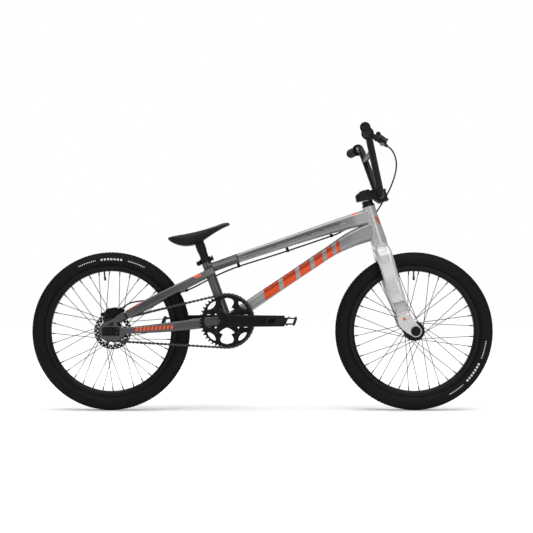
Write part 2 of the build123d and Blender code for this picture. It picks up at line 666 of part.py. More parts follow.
def brake_lever_blade():
    """One-finger blade with a round end, turning on its own pin."""
    pivot = Plane(origin=LEVER_PIVOT, z_dir=(-0.61, 0, -0.79))
    hub = pivot * Cylinder(6.0, 9.0)
    pin = pivot * Cylinder(2.0, 18.5)
    x, y, z = LEVER_PIVOT
    path = Spline(
        (x + 0.5, y - 3, z - 0.5), (x - 1, y - 26, z + 1.5), (x - 13, y - 55, z + 10.5), (62.5, -299, 308.5),
    )
    start = Plane(origin=path @ 0, x_dir=(-0.61, 0, -0.79), z_dir=path % 0)
    blade = sweep(start * Ellipse(4.3, 3.2), path=path)
    ball = Pos(61.7, -300, 309.2) * Sphere(7.6)
    return STEER * (hub + pin + blade + ball)


# ---- wheels, modelled about the Y axis at the origin ----
RIM_IN = 191.4
RIM_OUT = 209.0
BEAD = 203.0


def tyre():
    outer = [
        (BEAD - 1.2, 13.4), (209.2, 13.5), (211, 16.6), (219, 22.5), (229, 24.9), (238, 24.0), (246.5, 18.5),
        (251.4, 9.5), (WHEEL_R, 0),
    ]
    inner = [
        (250.0, 0), (248.6, 8.5), (244.3, 16.3), (237, 21.2), (229, 22.3), (220, 20.2), (212.5, 15.0),
        (210.3, 12.4), (BEAD, 10.2), (BEAD - 1.2, 10.2),
    ]
    right = [(r, -y) for r, y in reversed(outer[:-1])]
    right_inner = [(r, -y) for r, y in reversed(inner[1:])]
    return spun(outer + right + right_inner + inner)


def inner_tube(valve_angle):
    """Inner tube inside the tyre, with its valve through the rim."""
    section = Pos(229.5, 0) * Ellipse(17.6, 17.6)
    cavity = Pos(229.5, 0) * Ellipse(16.4, 16.4)
    tube_body = revolve(section - cavity, Axis.Y)
    stem = rod((213, 0, 0), (175, 0, 0), 2.6)
    cap = rod((175, 0, 0), (163, 0, 0), 3.6)
    return Rot(0, -valve_angle, 0) * (tube_body + stem + cap)


def rim():
    """Double-walled rim with two hooked sides."""
    outer = [
        (RIM_IN, 5), (RIM_IN + 1.5, 9.5), (199, 14.9), (RIM_OUT, 15.4), (RIM_OUT, 13.7), (BEAD + 3.4, 14.0),
        (BEAD - 1.3, 13.7), (BEAD - 1.3, 8.5), (BEAD - 3.4, 5.5),
    ]
    right = [(r, -y) for r, y in reversed(outer)]
    shell = spun(outer + right)
    cell = [
        (RIM_IN + 1.4, 5), (RIM_IN + 2.8, 8.8), (198.5, 12.4), (BEAD - 3.0, 12.4), (BEAD - 3.0, 8.4),
        (BEAD - 4.9, 5.0),
    ]
    cell_right = [(r, -y) for r, y in reversed(cell)]
    return shell - spun(cell + cell_right)


def spoke_ends(number, flange_left, flange_right, hole_r, first_angle):
    """Elbow point and rim point of one spoke, laced three across."""
    rim_angle = first_angle + number * 360 / SPOKES
    left = number % 2 == 0
    leading = number % 4 < 2
    turn = 57.0 if leading else -57.0
    flange = flange_left if left else flange_right
    side = 1 if left else -1
    lift = 3.1 if leading else -3.0
    hub_angle = rim_angle + turn
    elbow = Vector(hole_r * cosd(hub_angle), flange + side * lift, hole_r * sind(hub_angle))
    at_rim = Vector((RIM_IN + 2.0) * cosd(rim_angle), side * 2.0, (RIM_IN + 2.0) * sind(rim_angle))
    return elbow, at_rim, flange, side * lift


def spokes_and_holes(flange_left, flange_right, hole_r, first_angle):
    """All spokes with their nipples, and the holes they need in the rim and hub."""
    pieces, rim_holes, hub_holes = [], [], []
    for number in range(SPOKES):
        elbow, at_rim, flange, lift = spoke_ends(number, flange_left, flange_right, hole_r, first_angle)
        along = (at_rim - elbow).normalized()
        inside = 1 if lift > 0 else -1
        head_y = flange - inside * 3.2
        shank = rod(elbow, (at_rim - along * 10), 1.0)
        bend = Pos(*elbow) * Sphere(1.0)
        through = rod(elbow, (elbow.X, head_y, elbow.Z), 1.0)
        head = rod((elbow.X, head_y, elbow.Z), (elbow.X, head_y + inside * 1.3, elbow.Z), 1.9)
        pieces.append(shank + bend + through + head)
        nipple = rod((at_rim - along * 14), (at_rim + along * 1.8), 1.9)
        nipple += rod((at_rim + along * 0.4), (at_rim + along * 3.2), 2.8)
        nipple -= rod((at_rim - along * 15), (at_rim - along * 9.9), 1.0 + RUNNING)
        pieces.append(nipple)
        rim_holes.append(rod((at_rim - along * 15), (at_rim + along * 0.38), 1.95))
        hub_holes.append(rod((elbow.X, flange - 2.4, elbow.Z), (elbow.X, flange + 2.4, elbow.Z), 1.05))
        hub_holes.append(rod(elbow, elbow + along * 30, 1.05))
    return pieces, rim_holes, hub_holes


def hub_shell(flange_left, flange_right, flange_r, barrel_r, end_left, end_right, bore):
    """Turned hub shell with two spoke flanges."""
    outline = [
        (bore, end_right), (14.5, end_right), (barrel_r + 2, flange_right - 5),
        (flange_r - 7, flange_right - 1.8),
        (flange_r, flange_right - 1.6), (flange_r, flange_right + 1.6), (flange_r - 7, flange_right + 1.8),
        (barrel_r, flange_right + 8), (barrel_r, flange_left - 8), (flange_r - 7, flange_left - 1.8),
        (flange_r, flange_left - 1.6), (flange_r, flange_left + 1.6), (flange_r - 7, flange_left + 1.8),
        (barrel_r + 2, flange_left + 5), (14.5, end_left), (bore, end_left),
    ]
    return spun(outline)


def save_wheel(name, place, flange_left, flange_right, valve_angle, first_angle, ends, bearings, with_rotor):
    flange_r, hole_r = 31.0, 28.0
    pieces, rim_holes, hub_holes = spokes_and_holes(flange_left, flange_right, hole_r, first_angle)
    hub = hub_shell(flange_left, flange_right, flange_r, 14.5, ends[0], ends[1], 9.0)
    if with_rotor:
        hub += ring(26.0, 9.0, 36.6, ROTOR_Y - 0.95)
        hub -= rotor_bolts()
    hub = hub - hub_holes
    for y in bearings:
        hub -= cross_rod(0, 0, 12.0, y - 3.5, y + 3.5)
    wheel_rim = rim() - rim_holes
    wheel_rim -= Rot(0, -valve_angle, 0) * rod((215, 0, 0), (180, 0, 0), 3.0)
    bearing = [ring(12.0, AXLE_R + RUNNING, y - 3.5, y + 3.5) for y in bearings]
    save(f"{name}_tyre", place * tyre())
    save(f"{name}_inner_tube", place * inner_tube(valve_angle))
    save(f"{name}_rim", place * wheel_rim)
    save(f"{name}_spokes", place * group(*pieces))
    save(f"{name}_hub", place * hub)
    save(f"{name}_hub_bearings", place * group(*bearing))


# ---- drivetrain ----
def sprocket(teeth, pitch_r, thickness, gap_angle):
    """Toothed disc about the Y axis, with a tooth gap at gap_angle from +X."""
    tip_r = pitch_r + 3.4
    face = Circle(tip_r)
    gap = Pos(pitch_r, 0) * Circle(4.02)
    flare = Polyline((pitch_r, -4.02), (tip_r + 2, -6.5), (tip_r + 2, 6.5), (pitch_r, 4.02), close=True)
    gap += make_face(flare)
    for number in range(teeth):
        face -= Rot(0, 0, gap_angle + number * 360 / teeth) * gap
    disc = extrude(face, thickness / 2, both=True)
    return Rot(90, 0, 0) * disc


def chain_track():
    """Roller centres round the loop: a list of (x, z, direction in degrees) per link."""
    axis_angle = math.degrees(math.atan2(BB_Z - AXLE_Z, BB_X - REAR_X))
    lean = math.degrees(math.asin((RING_R - COG_R) / CENTRES))
    straight = math.sqrt(CENTRES**2 - (RING_R - COG_R) ** 2) / CHAIN_PITCH
    ring_turn = 180 + 2 * lean
    cog_turn = 180 - 2 * lean
    ring_links = ring_turn * CHAINRING_TEETH / 360
    cog_links = cog_turn * COG_TEETH / 360
    top_angle = axis_angle + 90 + lean
    joints = []
    for number in range(CHAIN_LINKS):
        at = float(number)
        if at < ring_links:
            angle = top_angle - at * 360 / CHAINRING_TEETH
            joints.append((BB_X + RING_R * cosd(angle), BB_Z + RING_R * sind(angle)))
            continue
        at -= ring_links
        low_angle = top_angle - ring_turn
        if at < straight:
            back = low_angle - 90
            x = BB_X + RING_R * cosd(low_angle) + at * CHAIN_PITCH * cosd(back)
            z = BB_Z + RING_R * sind(low_angle) + at * CHAIN_PITCH * sind(back)
            joints.append((x, z))
            continue
        at -= straight
        if at < cog_links:
            angle = low_angle - at * 360 / COG_TEETH
            joints.append((REAR_X + COG_R * cosd(angle), AXLE_Z + COG_R * sind(angle)))
            continue
        at -= cog_links
        ahead = top_angle - 90
        x = REAR_X + COG_R * cosd(top_angle) + at * CHAIN_PITCH * cosd(ahead)
        z = AXLE_Z + COG_R * sind(top_angle) + at * CHAIN_PITCH * sind(ahead)
        joints.append((x, z))
    first_cog = math.ceil(ring_links + straight)
    cog_gap = low_angle - (first_cog - ring_links - straight) * 360 / COG_TEETH
    return joints, top_angle, cog_gap


def link_plate(y_low, y_high):
    """Waisted plate with two pin holes, along X from the first pin."""
    waist = Pos(CHAIN_PITCH / 2, 0) * Rectangle(CHAIN_PITCH, 5.4)
    face = Circle(4.25) + Pos(CHAIN_PITCH, 0) * Circle(4.25) + waist
    return Pos(0, y_high, 0) * Rot(90, 0, 0) * extrude(face, y_high - y_low)


def chain_link(outer):
    """One link: two plates with either two rollers or two pins."""
    if outer:
        link = link_plate(2.95, 3.95) + link_plate(-3.95, -2.95)
        for x in (0, CHAIN_PITCH):
            link += cross_rod(x, 0, 1.8, -4.5, 4.5)
        return link
    link = link_plate(1.75, 2.85) + link_plate(-2.85, -1.75)
    for x in (0, CHAIN_PITCH):
        link += cross_rod(x, 0, 3.87, -1.75, 1.75)
    for x in (0, CHAIN_PITCH):
        link -= cross_rod(x, 0, 1.85, -5, 5)
    return link


def chain(joints):
    links = []
    patterns = (chain_link(False), chain_link(True))
    for number, (x, z) in enumerate(joints):
        ahead_x, ahead_z = joints[(number + 1) % len(joints)]
        angle = math.degrees(math.atan2(ahead_z - z, ahead_x - x))
        links.append(Pos(x, -CHAIN_LINE, z) * Rot(0, -angle, 0) * patterns[number % 2])
    return group(*links)


BOLT_CIRCLE_R = 52.0


def at_each_arm(shape):
    """The same shape on each of the four diagonal spider arms."""
    return [Rot(0, 45 + 90 * number, 0) * shape for number in range(4)]


def chainring(gap_angle):
    """Chainring with four open windows and a long slot outside each bolt."""
    disc = sprocket(CHAINRING_TEETH, RING_R, 2.8, gap_angle)
    body = disc - cross_rod(0, 0, 44, -5, 5)
    window = make_face(Polyline((11, 38), (27, 66), (0, 73.5), (-27, 66), (-11, 38), close=True))
    window = fillet(window.vertices().filter_by(lambda v: v.Y > 60), 12)
    outer_arc = ThreePointArc((-19, 70), (0, 75.4), (19, 70))
    inner_arc = ThreePointArc((-19, 70), (0, 61.5), (19, 70))
    slot = make_face(outer_arc + inner_arc)
    window = Rot(90, 0, 0) * extrude(window, 5, both=True)
    slot = Rot(90, 0, 0) * extrude(fillet(slot.vertices(), 2.5), 5, both=True)
    for number in range(4):
        body -= Rot(0, 90 * number, 0) * window
        body -= Rot(0, 45 + 90 * number, 0) * slot
    for hole in at_each_arm(cross_rod(0, BOLT_CIRCLE_R, 4.0 + RUNNING, -5, 5)):
        body -= hole
    return CRANK * (Pos(0, -CHAIN_LINE, 0) * largest(body))


def chainring_bolts():
    bolt = cross_rod(0, BOLT_CIRCLE_R, 4.0, -CHAIN_LINE - 6.5, -CHAIN_LINE + 1.5)
    bolt += cross_rod(0, BOLT_CIRCLE_R, 6.5, -CHAIN_LINE + 1.5, -CHAIN_LINE + 3.2)
    bolt += cross_rod(0, BOLT_CIRCLE_R, 6.5, -CHAIN_LINE - 8.0, -CHAIN_LINE - 6.45)
    bolt -= cross_rod(0, BOLT_CIRCLE_R, 2.6, -CHAIN_LINE - 9, -CHAIN_LINE - 5)
    return CRANK * group(*at_each_arm(bolt))


def spider():
    """Four arms from the crank's hub to the chainring bolts."""
    arm = make_face(Polyline((-16, 8), (-9.5, 30), (-8.0, 52), (8.0, 52), (9.5, 30), (16, 8), close=True))
    arm += Pos(0, BOLT_CIRCLE_R) * Circle(8.0)
    arm = Pos(0, -CHAIN_LINE - 1.45, 0) * Rot(90, 0, 0) * extrude(arm, 5.0)
    hub = cross_rod(0, 0, 20, -CHAIN_LINE - 17, -CHAIN_LINE - 1.0)
    body = hub
    for piece in at_each_arm(arm):
        body += piece
    for hole in at_each_arm(cross_rod(0, BOLT_CIRCLE_R, 4.0, -70, -30)):
        body -= hole
    return body


def arm_blade():
    """Crank arm blade toward +X, from the hub to the pedal eye, on the left side."""
    sections = []
    stations = (
        (-19, 53, 24, 14, 5), (0, 54, 39, 18, 6), (50, 62, 38, 16, 6), (120, 75, 36, 14, 5),
        (182.4, 81, 34.5, 14, 4),
    )
    for x, y, depth, width, corner in stations:
        where = Plane(origin=(x, y, 0), x_dir=(0, 0, 1), z_dir=(1, 0, 0))
        sections.append(where * RectangleRounded(depth, width, corner))
    blade = loft(sections, ruled=True)
    eye = cross_rod(CRANK_LENGTH, 0, PEDAL_AXLE_R, 60, 100)
    bore = cross_rod(0, 0, 12.0, 40, 61)
    cap_seat = cross_rod(0, 0, 10.5, 60, 70)
    return blade - eye - bore - cap_seat


def save_cranks():
    blade = arm_blade()
    right = mirrored(blade) + spider() - cross_rod(0, 0, 12.0, -61, -30) - cross_rod(0, 0, 10.5, -70, -60)
    left_hub = cross_rod(0, 0, 19, 46, 60) - cross_rod(0, 0, 12.0, 40, 61)
    left = Rot(0, 180, 0) * (blade + left_hub - cross_rod(0, 0, 10.5, 60, 70))
    save("crank_arm_right", CRANK * largest(right))
    save("crank_arm_left", CRANK * largest(left))
    spindle = cross_rod(0, 0, 12.0, -60, 60) - cross_rod(0, 0, 9.0, -55, 55)
    caps = []
    for low, high in ((-64.2, -60.05), (60.05, 64.2)):
        hole_end = (low + high) / 2 if low < 0 else high + 1
        cap = cross_rod(0, 0, 10.5, low, high) - cross_rod(0, 0, 4.0, low - 1, hole_end)
        caps.append(cap)
    save("crank_spindle", CRANK * group(spindle, *caps))


PEDAL_INNER_Y = 96.0
PEDAL_OUTER_Y = 193.0


def pedal():
    """Platform pedal on the left side at the origin: cage, windows, axle barrel and grip pins."""
    outline = fillet(side_face([(-50.5, -11), (43, -11), (50.5, 11), (-43, 11)]).vertices(), 3)
    body = side_plate(outline, PEDAL_INNER_Y, PEDAL_OUTER_Y)
    for x in (-31, 13):
        for y in (105, 146.5):
            window = Pos(x + 9, y + 19, 0) * Box(23, 38, 40)
            body -= fillet(window.edges().filter_by(Axis.Z), 4)
    for way in (-1, 1):
        corners = ((15, -7), (37, -7), (43, 7), (21, 7))
        opening = side_face([(way * x, way * z) for x, z in corners])
        body -= side_plate(fillet(opening.vertices(), 1.5), PEDAL_INNER_Y - 1, PEDAL_OUTER_Y + 1)
    body += cross_rod(0, 0, 11.0, PEDAL_INNER_Y, PEDAL_OUTER_Y)
    body -= cross_rod(0, 0, PEDAL_AXLE_R + RUNNING, PEDAL_INNER_Y - 1, PEDAL_OUTER_Y - 8)
    pins = []
    for x in (-43, -21.5, 21.5, 43):
        for y in (PEDAL_INNER_Y + 5, (PEDAL_INNER_Y + PEDAL_OUTER_Y) / 2, PEDAL_OUTER_Y - 5):
            lean = 3.4
            pins.append(rod((x + lean, y, 11.0), (x + lean, y, 14.5), 1.6))
            pins.append(rod((x - lean, y, -14.5), (x - lean, y, -11.0), 1.6))
    return body, pins


def pedal_axle():
    """Axle screwed into the crank arm's eye, with a wrench collar."""
    axle = cross_rod(0, 0, PEDAL_AXLE_R, 74, PEDAL_OUTER_Y - 9)
    collar = Pos(0, 88.1, 0) * Rot(-90, 0, 0) * extrude(RegularPolygon(8.5, 6), 6.5)
    return axle + collar


def save_pedals():
    body, pins = pedal()
    left_place = Pos(BB_X - CRANK_LENGTH, 0, BB_Z)
    right_place = Pos(BB_X + CRANK_LENGTH, 0, BB_Z)
    whole = group(body, *pins)
    save("pedal_left", left_place * whole)
    save("pedal_right", right_place * mirrored(whole))
    save("pedal_axles", group(left_place * pedal_axle(), right_place * mirrored(pedal_axle())))


def rear_cog(gap_angle):
    """Freewheel driver with its cog."""
    disc = sprocket(COG_TEETH, COG_R, 2.8, gap_angle)
    body = Pos(0, -CHAIN_LINE, 0) * disc
    for number in range(5):
        body -= Rot(0, 72 * number, 0) * cross_rod(21.5, 0, 2.6, -60, -30)
    body += cross_rod(0, 0, 17.0, -CHAIN_LINE - 4, -38)
    body -= cross_rod(0, 0, AXLE_R + RUNNING, -60, -30)
    return REAR * body


def rear_axle():
    """Hollow axle with bolt heads, spacers and the sliding block in each dropout."""
    y = DROPOUT_Y
    axle = cross_rod(0, 0, AXLE_R, -y - 6, y + 6) - cross_rod(0, 0, 4.5, -y - 7, y + 7)
    pieces = [axle]
    block_face = fillet(side_face([(-15, -13.9), (17, -13.9), (17, 13.4), (-15, 13.4)]).vertices(), 4)
    for side in (-1, 1):
        slider = side_plate(block_face, *sorted((side * (y - 4.5), side * (y + 4.5))))
        flange = cross_rod(0, 0, 13.0, *sorted((side * (y + 4.5), side * (y + 5.5))))
        slider = slider + flange - cross_rod(0, 0, AXLE_R, -90, 90)
        head = cross_rod(0, 0, 11.5, *sorted((side * (y + 6.05), side * (y + 10))))
        stud = cross_rod(0, 0, 4.5, *sorted((side * (y - 8), side * (y + 7))))
        key = hex_socket((0, side * (y + 10), 0), (0, 1, 0), 3.5, 5)
        tug = rod((17, side * y, 0), (32.9, side * y, 0), 2.5)
        pieces += [slider, head + stud - key, tug]
    pieces.append(ring(10.5, AXLE_R, -y + 4.6, -CHAIN_LINE - 4.3))
    pieces.append(ring(10.5, AXLE_R, 48.3, y - 4.6))
    return REAR * group(*pieces)


# ---- rear disc brake ----
ROTOR_Y = 43.5


def brake_rotor():
    """Drilled rotor with six bent arms."""
    disc = ring(60.0, 45.0, ROTOR_Y - 0.9, ROTOR_Y + 0.9)
    hub = ring(26.0, 16.5, ROTOR_Y - 0.9, ROTOR_Y + 0.9)
    for number in range(6):
        arm = side_face([(22, -5), (48, 6), (48, 12), (22, 5)])
        disc += Rot(0, 60 * number, 0) * side_plate(arm, ROTOR_Y - 0.9, ROTOR_Y + 0.9)
    disc += hub
    holes = []
    for number in range(24):
        for radius, shift in ((49.5, 0), (55.5, 7.5)):
            angle = 15 * number + shift
            holes.append(cross_rod(radius * cosd(angle), radius * sind(angle), 1.9, 40, 48))
    for number in range(6):
        holes.append(cross_rod(22 * cosd(60 * number + 30), 22 * sind(60 * number + 30), 2.5, 40, 48))
    return REAR * (disc - holes)


def rotor_bolts():
    bolts = []
    for number in range(6):
        x, z = 22 * cosd(60 * number + 30), 22 * sind(60 * number + 30)
        bolt = cross_rod(x, z, 2.5, ROTOR_Y - 6.0, ROTOR_Y + 0.95)
        bolt += cross_rod(x, z, 4.4, ROTOR_Y + 0.95, ROTOR_Y + 3.2)
        key = hex_socket((x, ROTOR_Y + 3.2, z), (0, 1, 0), 2.0, 1.5)
        bolts.append(bolt - key)
    return bolts




def caliper_place():
    return Pos(CALIPER_AT[0], 0, CALIPER_AT[1]) * Rot(0, -CALIPER_TILT, 0)


def brake_caliper():
    """Two-piston caliper over the rotor's edge, with two mounting ears and bolts."""
    place = caliper_place()
    body = side_face([(-22, -14), (20, -14), (24, -4), (24, 10), (16, 17), (-12, 19), (-22, 9)])
    body = place * side_plate(fillet(body.vertices(), 4), 32.0, 53.0)
    ears = []
    for x, z in CALIPER_BOLTS:
        ears.append(cross_rod(x, z, 6.5, 46.0, 53.9))
    bridge_face = side_face([(-34, -2), (-20, -8), (34, -6), (34, 4), (20, 12), (-28, 8)])
    bridge = place * side_plate(bridge_face, 46.0, 53.0)
    cap = place * cross_rod(0, -6.5, 10.5, 52.9, 53.9)
    banjo = place * rod((22, 45, 6), (33, 45, 9), 4.8)
    body = body + bridge + cap + banjo
    for ear in ears:
        body += ear
    body -= Pos(REAR_X, 0, AXLE_Z) * cross_rod(0, 0, 62.0, ROTOR_Y - 6.0, ROTOR_Y + 6.0)
    for low, high in ((ROTOR_Y - 9.5, ROTOR_Y - 5.9), (ROTOR_Y + 5.9, ROTOR_Y + 9.5)):
        body -= place * cross_rod(0, -6.5, 7.0 + RUNNING, low, high)
    bolts = []
    outside = DROPOUT_Y + DROPOUT_T / 2
    for x, z in CALIPER_BOLTS:
        body -= cross_rod(x, z, 2.55, 40, 70)
        bolt = cross_rod(x, z, 2.5, 47.0, outside + 0.1) + cross_rod(x, z, 4.6, outside + 0.05, outside + 4)
        key = hex_socket((x, outside + 4, z), (0, 1, 0), 2.2, 2.5)
        bolts.append(bolt - key)
    body -= place * rod((26, 45, 7.1), (36, 45, 9.8), HOSE_R + RUNNING)
    return largest(body), bolts


def brake_pad(side):
    """Friction pad with its backing plate and piston. side is -1 for the wheel's side."""
    place = caliper_place()
    face = fillet(side_face([(-9, -13.0), (9, -13.0), (10, 1.5), (-10, 1.5)]).vertices(), 2)
    near = ROTOR_Y + side * 1.5
    pad = side_plate(face, *sorted((near, near + side * 3.5)))
    piston = cross_rod(0, -6.5, 7.0, *sorted((near + side * 3.5, near + side * 7.2)))
    return place * (pad + piston)


# ---- hose ----
def tangent_radii(points):
    """Largest smooth arc at each corner of a route: 0.45 of its shorter run."""
    radii = []
    for before, at, after in zip(points, points[1:], points[2:]):
        before, at, after = Vector(*before), Vector(*at), Vector(*after)
        turn = (at - before).get_angle(after - at)
        shorter = min((at - before).length, (after - at).length)
        radii.append(0.45 * shorter / math.tan(math.radians(turn / 2)))
    return radii


def hose(points, name):
    radii = tangent_radii(points)
    path = FilletPolyline(*points, radius=radii)
    start = Plane(origin=path @ 0, z_dir=path % 0)
    solid = sweep(start * Circle(HOSE_R), path=path)
    expected = math.pi * HOSE_R**2 * path.length
    print(name, "tightest radius", round(min(radii), 1), "length", round(path.length, 1),
          "volume share", round(solid.volume / expected, 4))
    return solid


HOSE_JOIN = (306, 31.0, 596)
HOSE_REAR_ROUTE = [
    HOSE_JOIN, (286, 30.0, 588), (262, 25.5, 577.5), (240.5, 13.0, 565.0), (200, 10.5, 551.0),
    (145, 10.0, 532.0), (81, 10.0, 510.6), (20, 10.5, 491.0), (-35, 11.5, 474.0), (-76, 12.5, 461.0),
    (-112, 15.5, 447.5),
    (-145, 21.0, 433.0), (-176, 26.0, 417.5), (-206, 32.0, 401.5), (-232, 42.0, 389.0), (-260, 52.0, 379.0),
    (-300, 60.5, 368.0), (-345, 66.5, 356.5), (-385, 67.5, 350.5), (-414, 62.5, 347.5), (-436, 53.0, 341.0),
    (-452.1, 45.0, 328.6), (-462.6, 45.0, 322.7),
]
HOSE_FRONT_ROUTE = [
    HOSE_JOIN, (326, 32.0, 604.0), (347, 34.5, 614.5), (364, 37.5, 630.5), (378, 40.0, 651.0),
    (390.5, 40.5, 671.5), (400.5, 32.5, 690.0), (408.5, 14.0, 706.5), (414.5, -12.0, 723.0),
    (419.0, -42.0, 740.0), (421.5, -66.0, 755.0),
    (422.3, -88.0, 770.0), (420.5, -107.0, 786.0), (415.5, -121.0, 801.5), (408.0, -132.0, 814.5),
    (398.0, -140.7, 825.4), (387.4, -148.0, 830.7),
]


def hose_clip(at, along, up):
    """Clip of a collar round the hose and a foot toward the tube it is screwed to."""
    where = Plane(origin=at, x_dir=up, z_dir=along)
    collar = Cylinder(4.2, 9)
    foot = Pos(8.0, 0, 0) * Box(16, 6.5, 9)
    return where * (collar + foot - Cylinder(HOSE_R, 40))


def save_hoses(top_filled, stay_filled):
    """The hose held by the frame, the hose that flexes with the bars, and the clips."""
    rear = hose(HOSE_REAR_ROUTE, "rear hose")
    save("brake_hose_rear", rear)
    save("brake_hose_front", hose(HOSE_FRONT_ROUTE, "front hose"))
    clips = []
    for at, along, up in (
        ((222, 11.9, 558.6), (0.945, 0.058, 0.327), (-0.327, 0, 0.945)),
        ((81, 10.0, 510.6), (0.953, 0, 0.304), (-0.304, 0, 0.953)),
        ((-76, 12.5, 461.0), (0.94, -0.06, 0.335), (-0.335, 0, 0.945)),
    ):
        clip = hose_clip(at, along, up) - top_filled
        clips.append(largest(clip - rear))
    stay_clip = hose_clip((-246, 47.2, 383.8), (0.905, -0.323, 0.29), (-0.05, -0.75, 0.66)) - stay_filled
    clips.append(largest(stay_clip - rear))
    save("hose_clips", group(*clips))


def largest(shape):
    return max(shape.solids(), key=lambda solid: solid.volume)


def main():
    os.makedirs("parts", exist_ok=True)
    top_filled, stay_filled = build_frame()
    save("headset_bearings", headset_bearings())
    save("bottom_bracket_cups", bottom_bracket_cups())
    save_hoses(top_filled, stay_filled)

    save_saddle()
    save("seat_post", seat_post())
    save("seat_clamp_collar", seat_clamp_collar())
    save("seat_clamp_lever", seat_clamp_lever())

    save("fork", fork())
    save("headset_spacers", headset_spacers())
    save_stem()
    save("handlebar", handlebar())
    save("grip_left", STEER * grip())
    save("grip_right", STEER * mirrored(grip()))
    save("bar_end_plugs", STEER * both_sides(bar_end_plug()))
    save("brake_lever_body", brake_lever_body())
    save("brake_lever_blade", brake_lever_blade())
    save("front_axle", front_axle())

    save_wheel("front", FRONT, 34, -34, 90, 85, (47.3, -47.3), (43.3, -43.3), False)
    save_wheel("rear", REAR, 26, -25, 97, 92, (48.1, -37.5), (44.0, -33.5), True)
    save("brake_rotor", brake_rotor())
    save("rotor_bolts", REAR * group(*rotor_bolts()))
    body, bolts = brake_caliper()
    save("brake_caliper", group(body, *bolts))
    save("brake_pad_inner", brake_pad(-1))
    save("brake_pad_outer", brake_pad(1))
    save("rear_axle", rear_axle())

    joints, ring_gap, cog_gap = chain_track()
    save("chain", chain(joints))
    save("rear_cog", rear_cog(cog_gap))
    save("chainring", chainring(ring_gap))
    save("chainring_bolts", chainring_bolts())
    save_cranks()
    save_pedals()


main()
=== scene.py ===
"""Looks of the BMX race bike: materials, tyres, saddle, front hose, welds, floor, light and camera."""
import math

import bmesh
import bpy
import numpy as np
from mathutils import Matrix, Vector
from mathutils.bvhtree import BVHTree


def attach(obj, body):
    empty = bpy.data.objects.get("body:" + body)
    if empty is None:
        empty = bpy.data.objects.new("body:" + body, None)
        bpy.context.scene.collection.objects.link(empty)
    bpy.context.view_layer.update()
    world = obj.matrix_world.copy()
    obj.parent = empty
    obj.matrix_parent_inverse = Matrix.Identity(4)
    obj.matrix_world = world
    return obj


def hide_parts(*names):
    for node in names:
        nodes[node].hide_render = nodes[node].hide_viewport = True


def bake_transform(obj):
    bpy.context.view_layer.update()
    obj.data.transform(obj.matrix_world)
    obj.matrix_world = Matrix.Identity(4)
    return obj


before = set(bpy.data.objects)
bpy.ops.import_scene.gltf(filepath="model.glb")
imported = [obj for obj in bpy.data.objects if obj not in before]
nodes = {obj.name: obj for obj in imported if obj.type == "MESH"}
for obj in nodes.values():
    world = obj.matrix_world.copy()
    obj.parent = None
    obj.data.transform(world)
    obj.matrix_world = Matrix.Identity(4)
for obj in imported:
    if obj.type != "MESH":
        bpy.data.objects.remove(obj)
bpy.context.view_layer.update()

REAR_AXLE = Vector((-0.485, 0.0, 0.253))
FRONT_AXLE = Vector((0.485, 0.0, 0.253))
ORANGE = (0.66, 0.062, 0.002, 1)
ORANGE_DARK = (0.33, 0.026, 0.001, 1)
SILVER = (0.30, 0.304, 0.306, 1)
PEARL = (0.52, 0.522, 0.525, 1)
CHARCOAL = (0.050, 0.051, 0.053, 1)
HATCH_DARK = (0.085, 0.087, 0.09, 1)


# ---- camera, floor and light ----

def make_camera():
    """Nearly level view of the right side, from 4.5 m."""
    data = bpy.data.cameras.new("camera")
    data.lens = 94.7
    data.sensor_width = 36.0
    camera = bpy.data.objects.new("camera", data)
    camera.location = (0.0125, -4.5, 0.32)
    camera.rotation_euler = (math.radians(91.78), 0, 0)
    bpy.context.scene.collection.objects.link(camera)
    bpy.context.scene.camera = camera


def area_light(name, place, aim, size, power):
    data = bpy.data.lights.new(name, "AREA")
    data.shape = "RECTANGLE"
    data.size, data.size_y = size
    data.energy = power
    light = bpy.data.objects.new(name, data)
    light.location = place
    light.rotation_euler = (Vector(aim) - Vector(place)).to_track_quat("-Z", "Y").to_euler()
    bpy.context.scene.collection.objects.link(light)


def make_studio():
    """White behind, dimmer light from all round, soft sun from above and a long key light at the side."""
    world = bpy.data.worlds.new("studio")
    world.use_nodes = True
    tree = world.node_tree
    background = tree.nodes["Background"]
    background.inputs["Color"].default_value = (1, 1, 1, 1)
    seen = tree.nodes.new("ShaderNodeLightPath").outputs["Is Camera Ray"]
    strength = tree.nodes.new("ShaderNodeMapRange")
    tree.links.new(seen, strength.inputs[0])
    strength.inputs[3].default_value = 0.30
    strength.inputs[4].default_value = 1.0
    tree.links.new(strength.outputs[0], background.inputs["Strength"])
    bpy.context.scene.world = world
    bpy.context.scene.view_settings.view_transform = "Standard"
    sun = bpy.data.lights.new("sky_panel", "SUN")
    sun.energy = 2.85
    sun.angle = math.radians(70)
    holder = bpy.data.objects.new("sky_panel", sun)
    holder.rotation_euler = (math.radians(14), 0, 0)
    bpy.context.scene.collection.objects.link(holder)
    area_light("key", (1.4, -3.4, 1.9), (0.1, 0, 0.4), (0.5, 2.6), 26)
    area_light("back", (-1.4, 3.2, 1.9), (0, 0, 0.4), (2.0, 0.8), 26)
    bpy.ops.mesh.primitive_plane_add(size=60)
    floor = bpy.context.object
    floor.name = "floor"
    look = Look("floor_paper", 0.9, specular=0.2)
    look.colour(look.vary((0.96, 0.96, 0.96, 1), 0.006, 1.5))
    floor.data.materials.append(look.material)


# ---- shader building ----

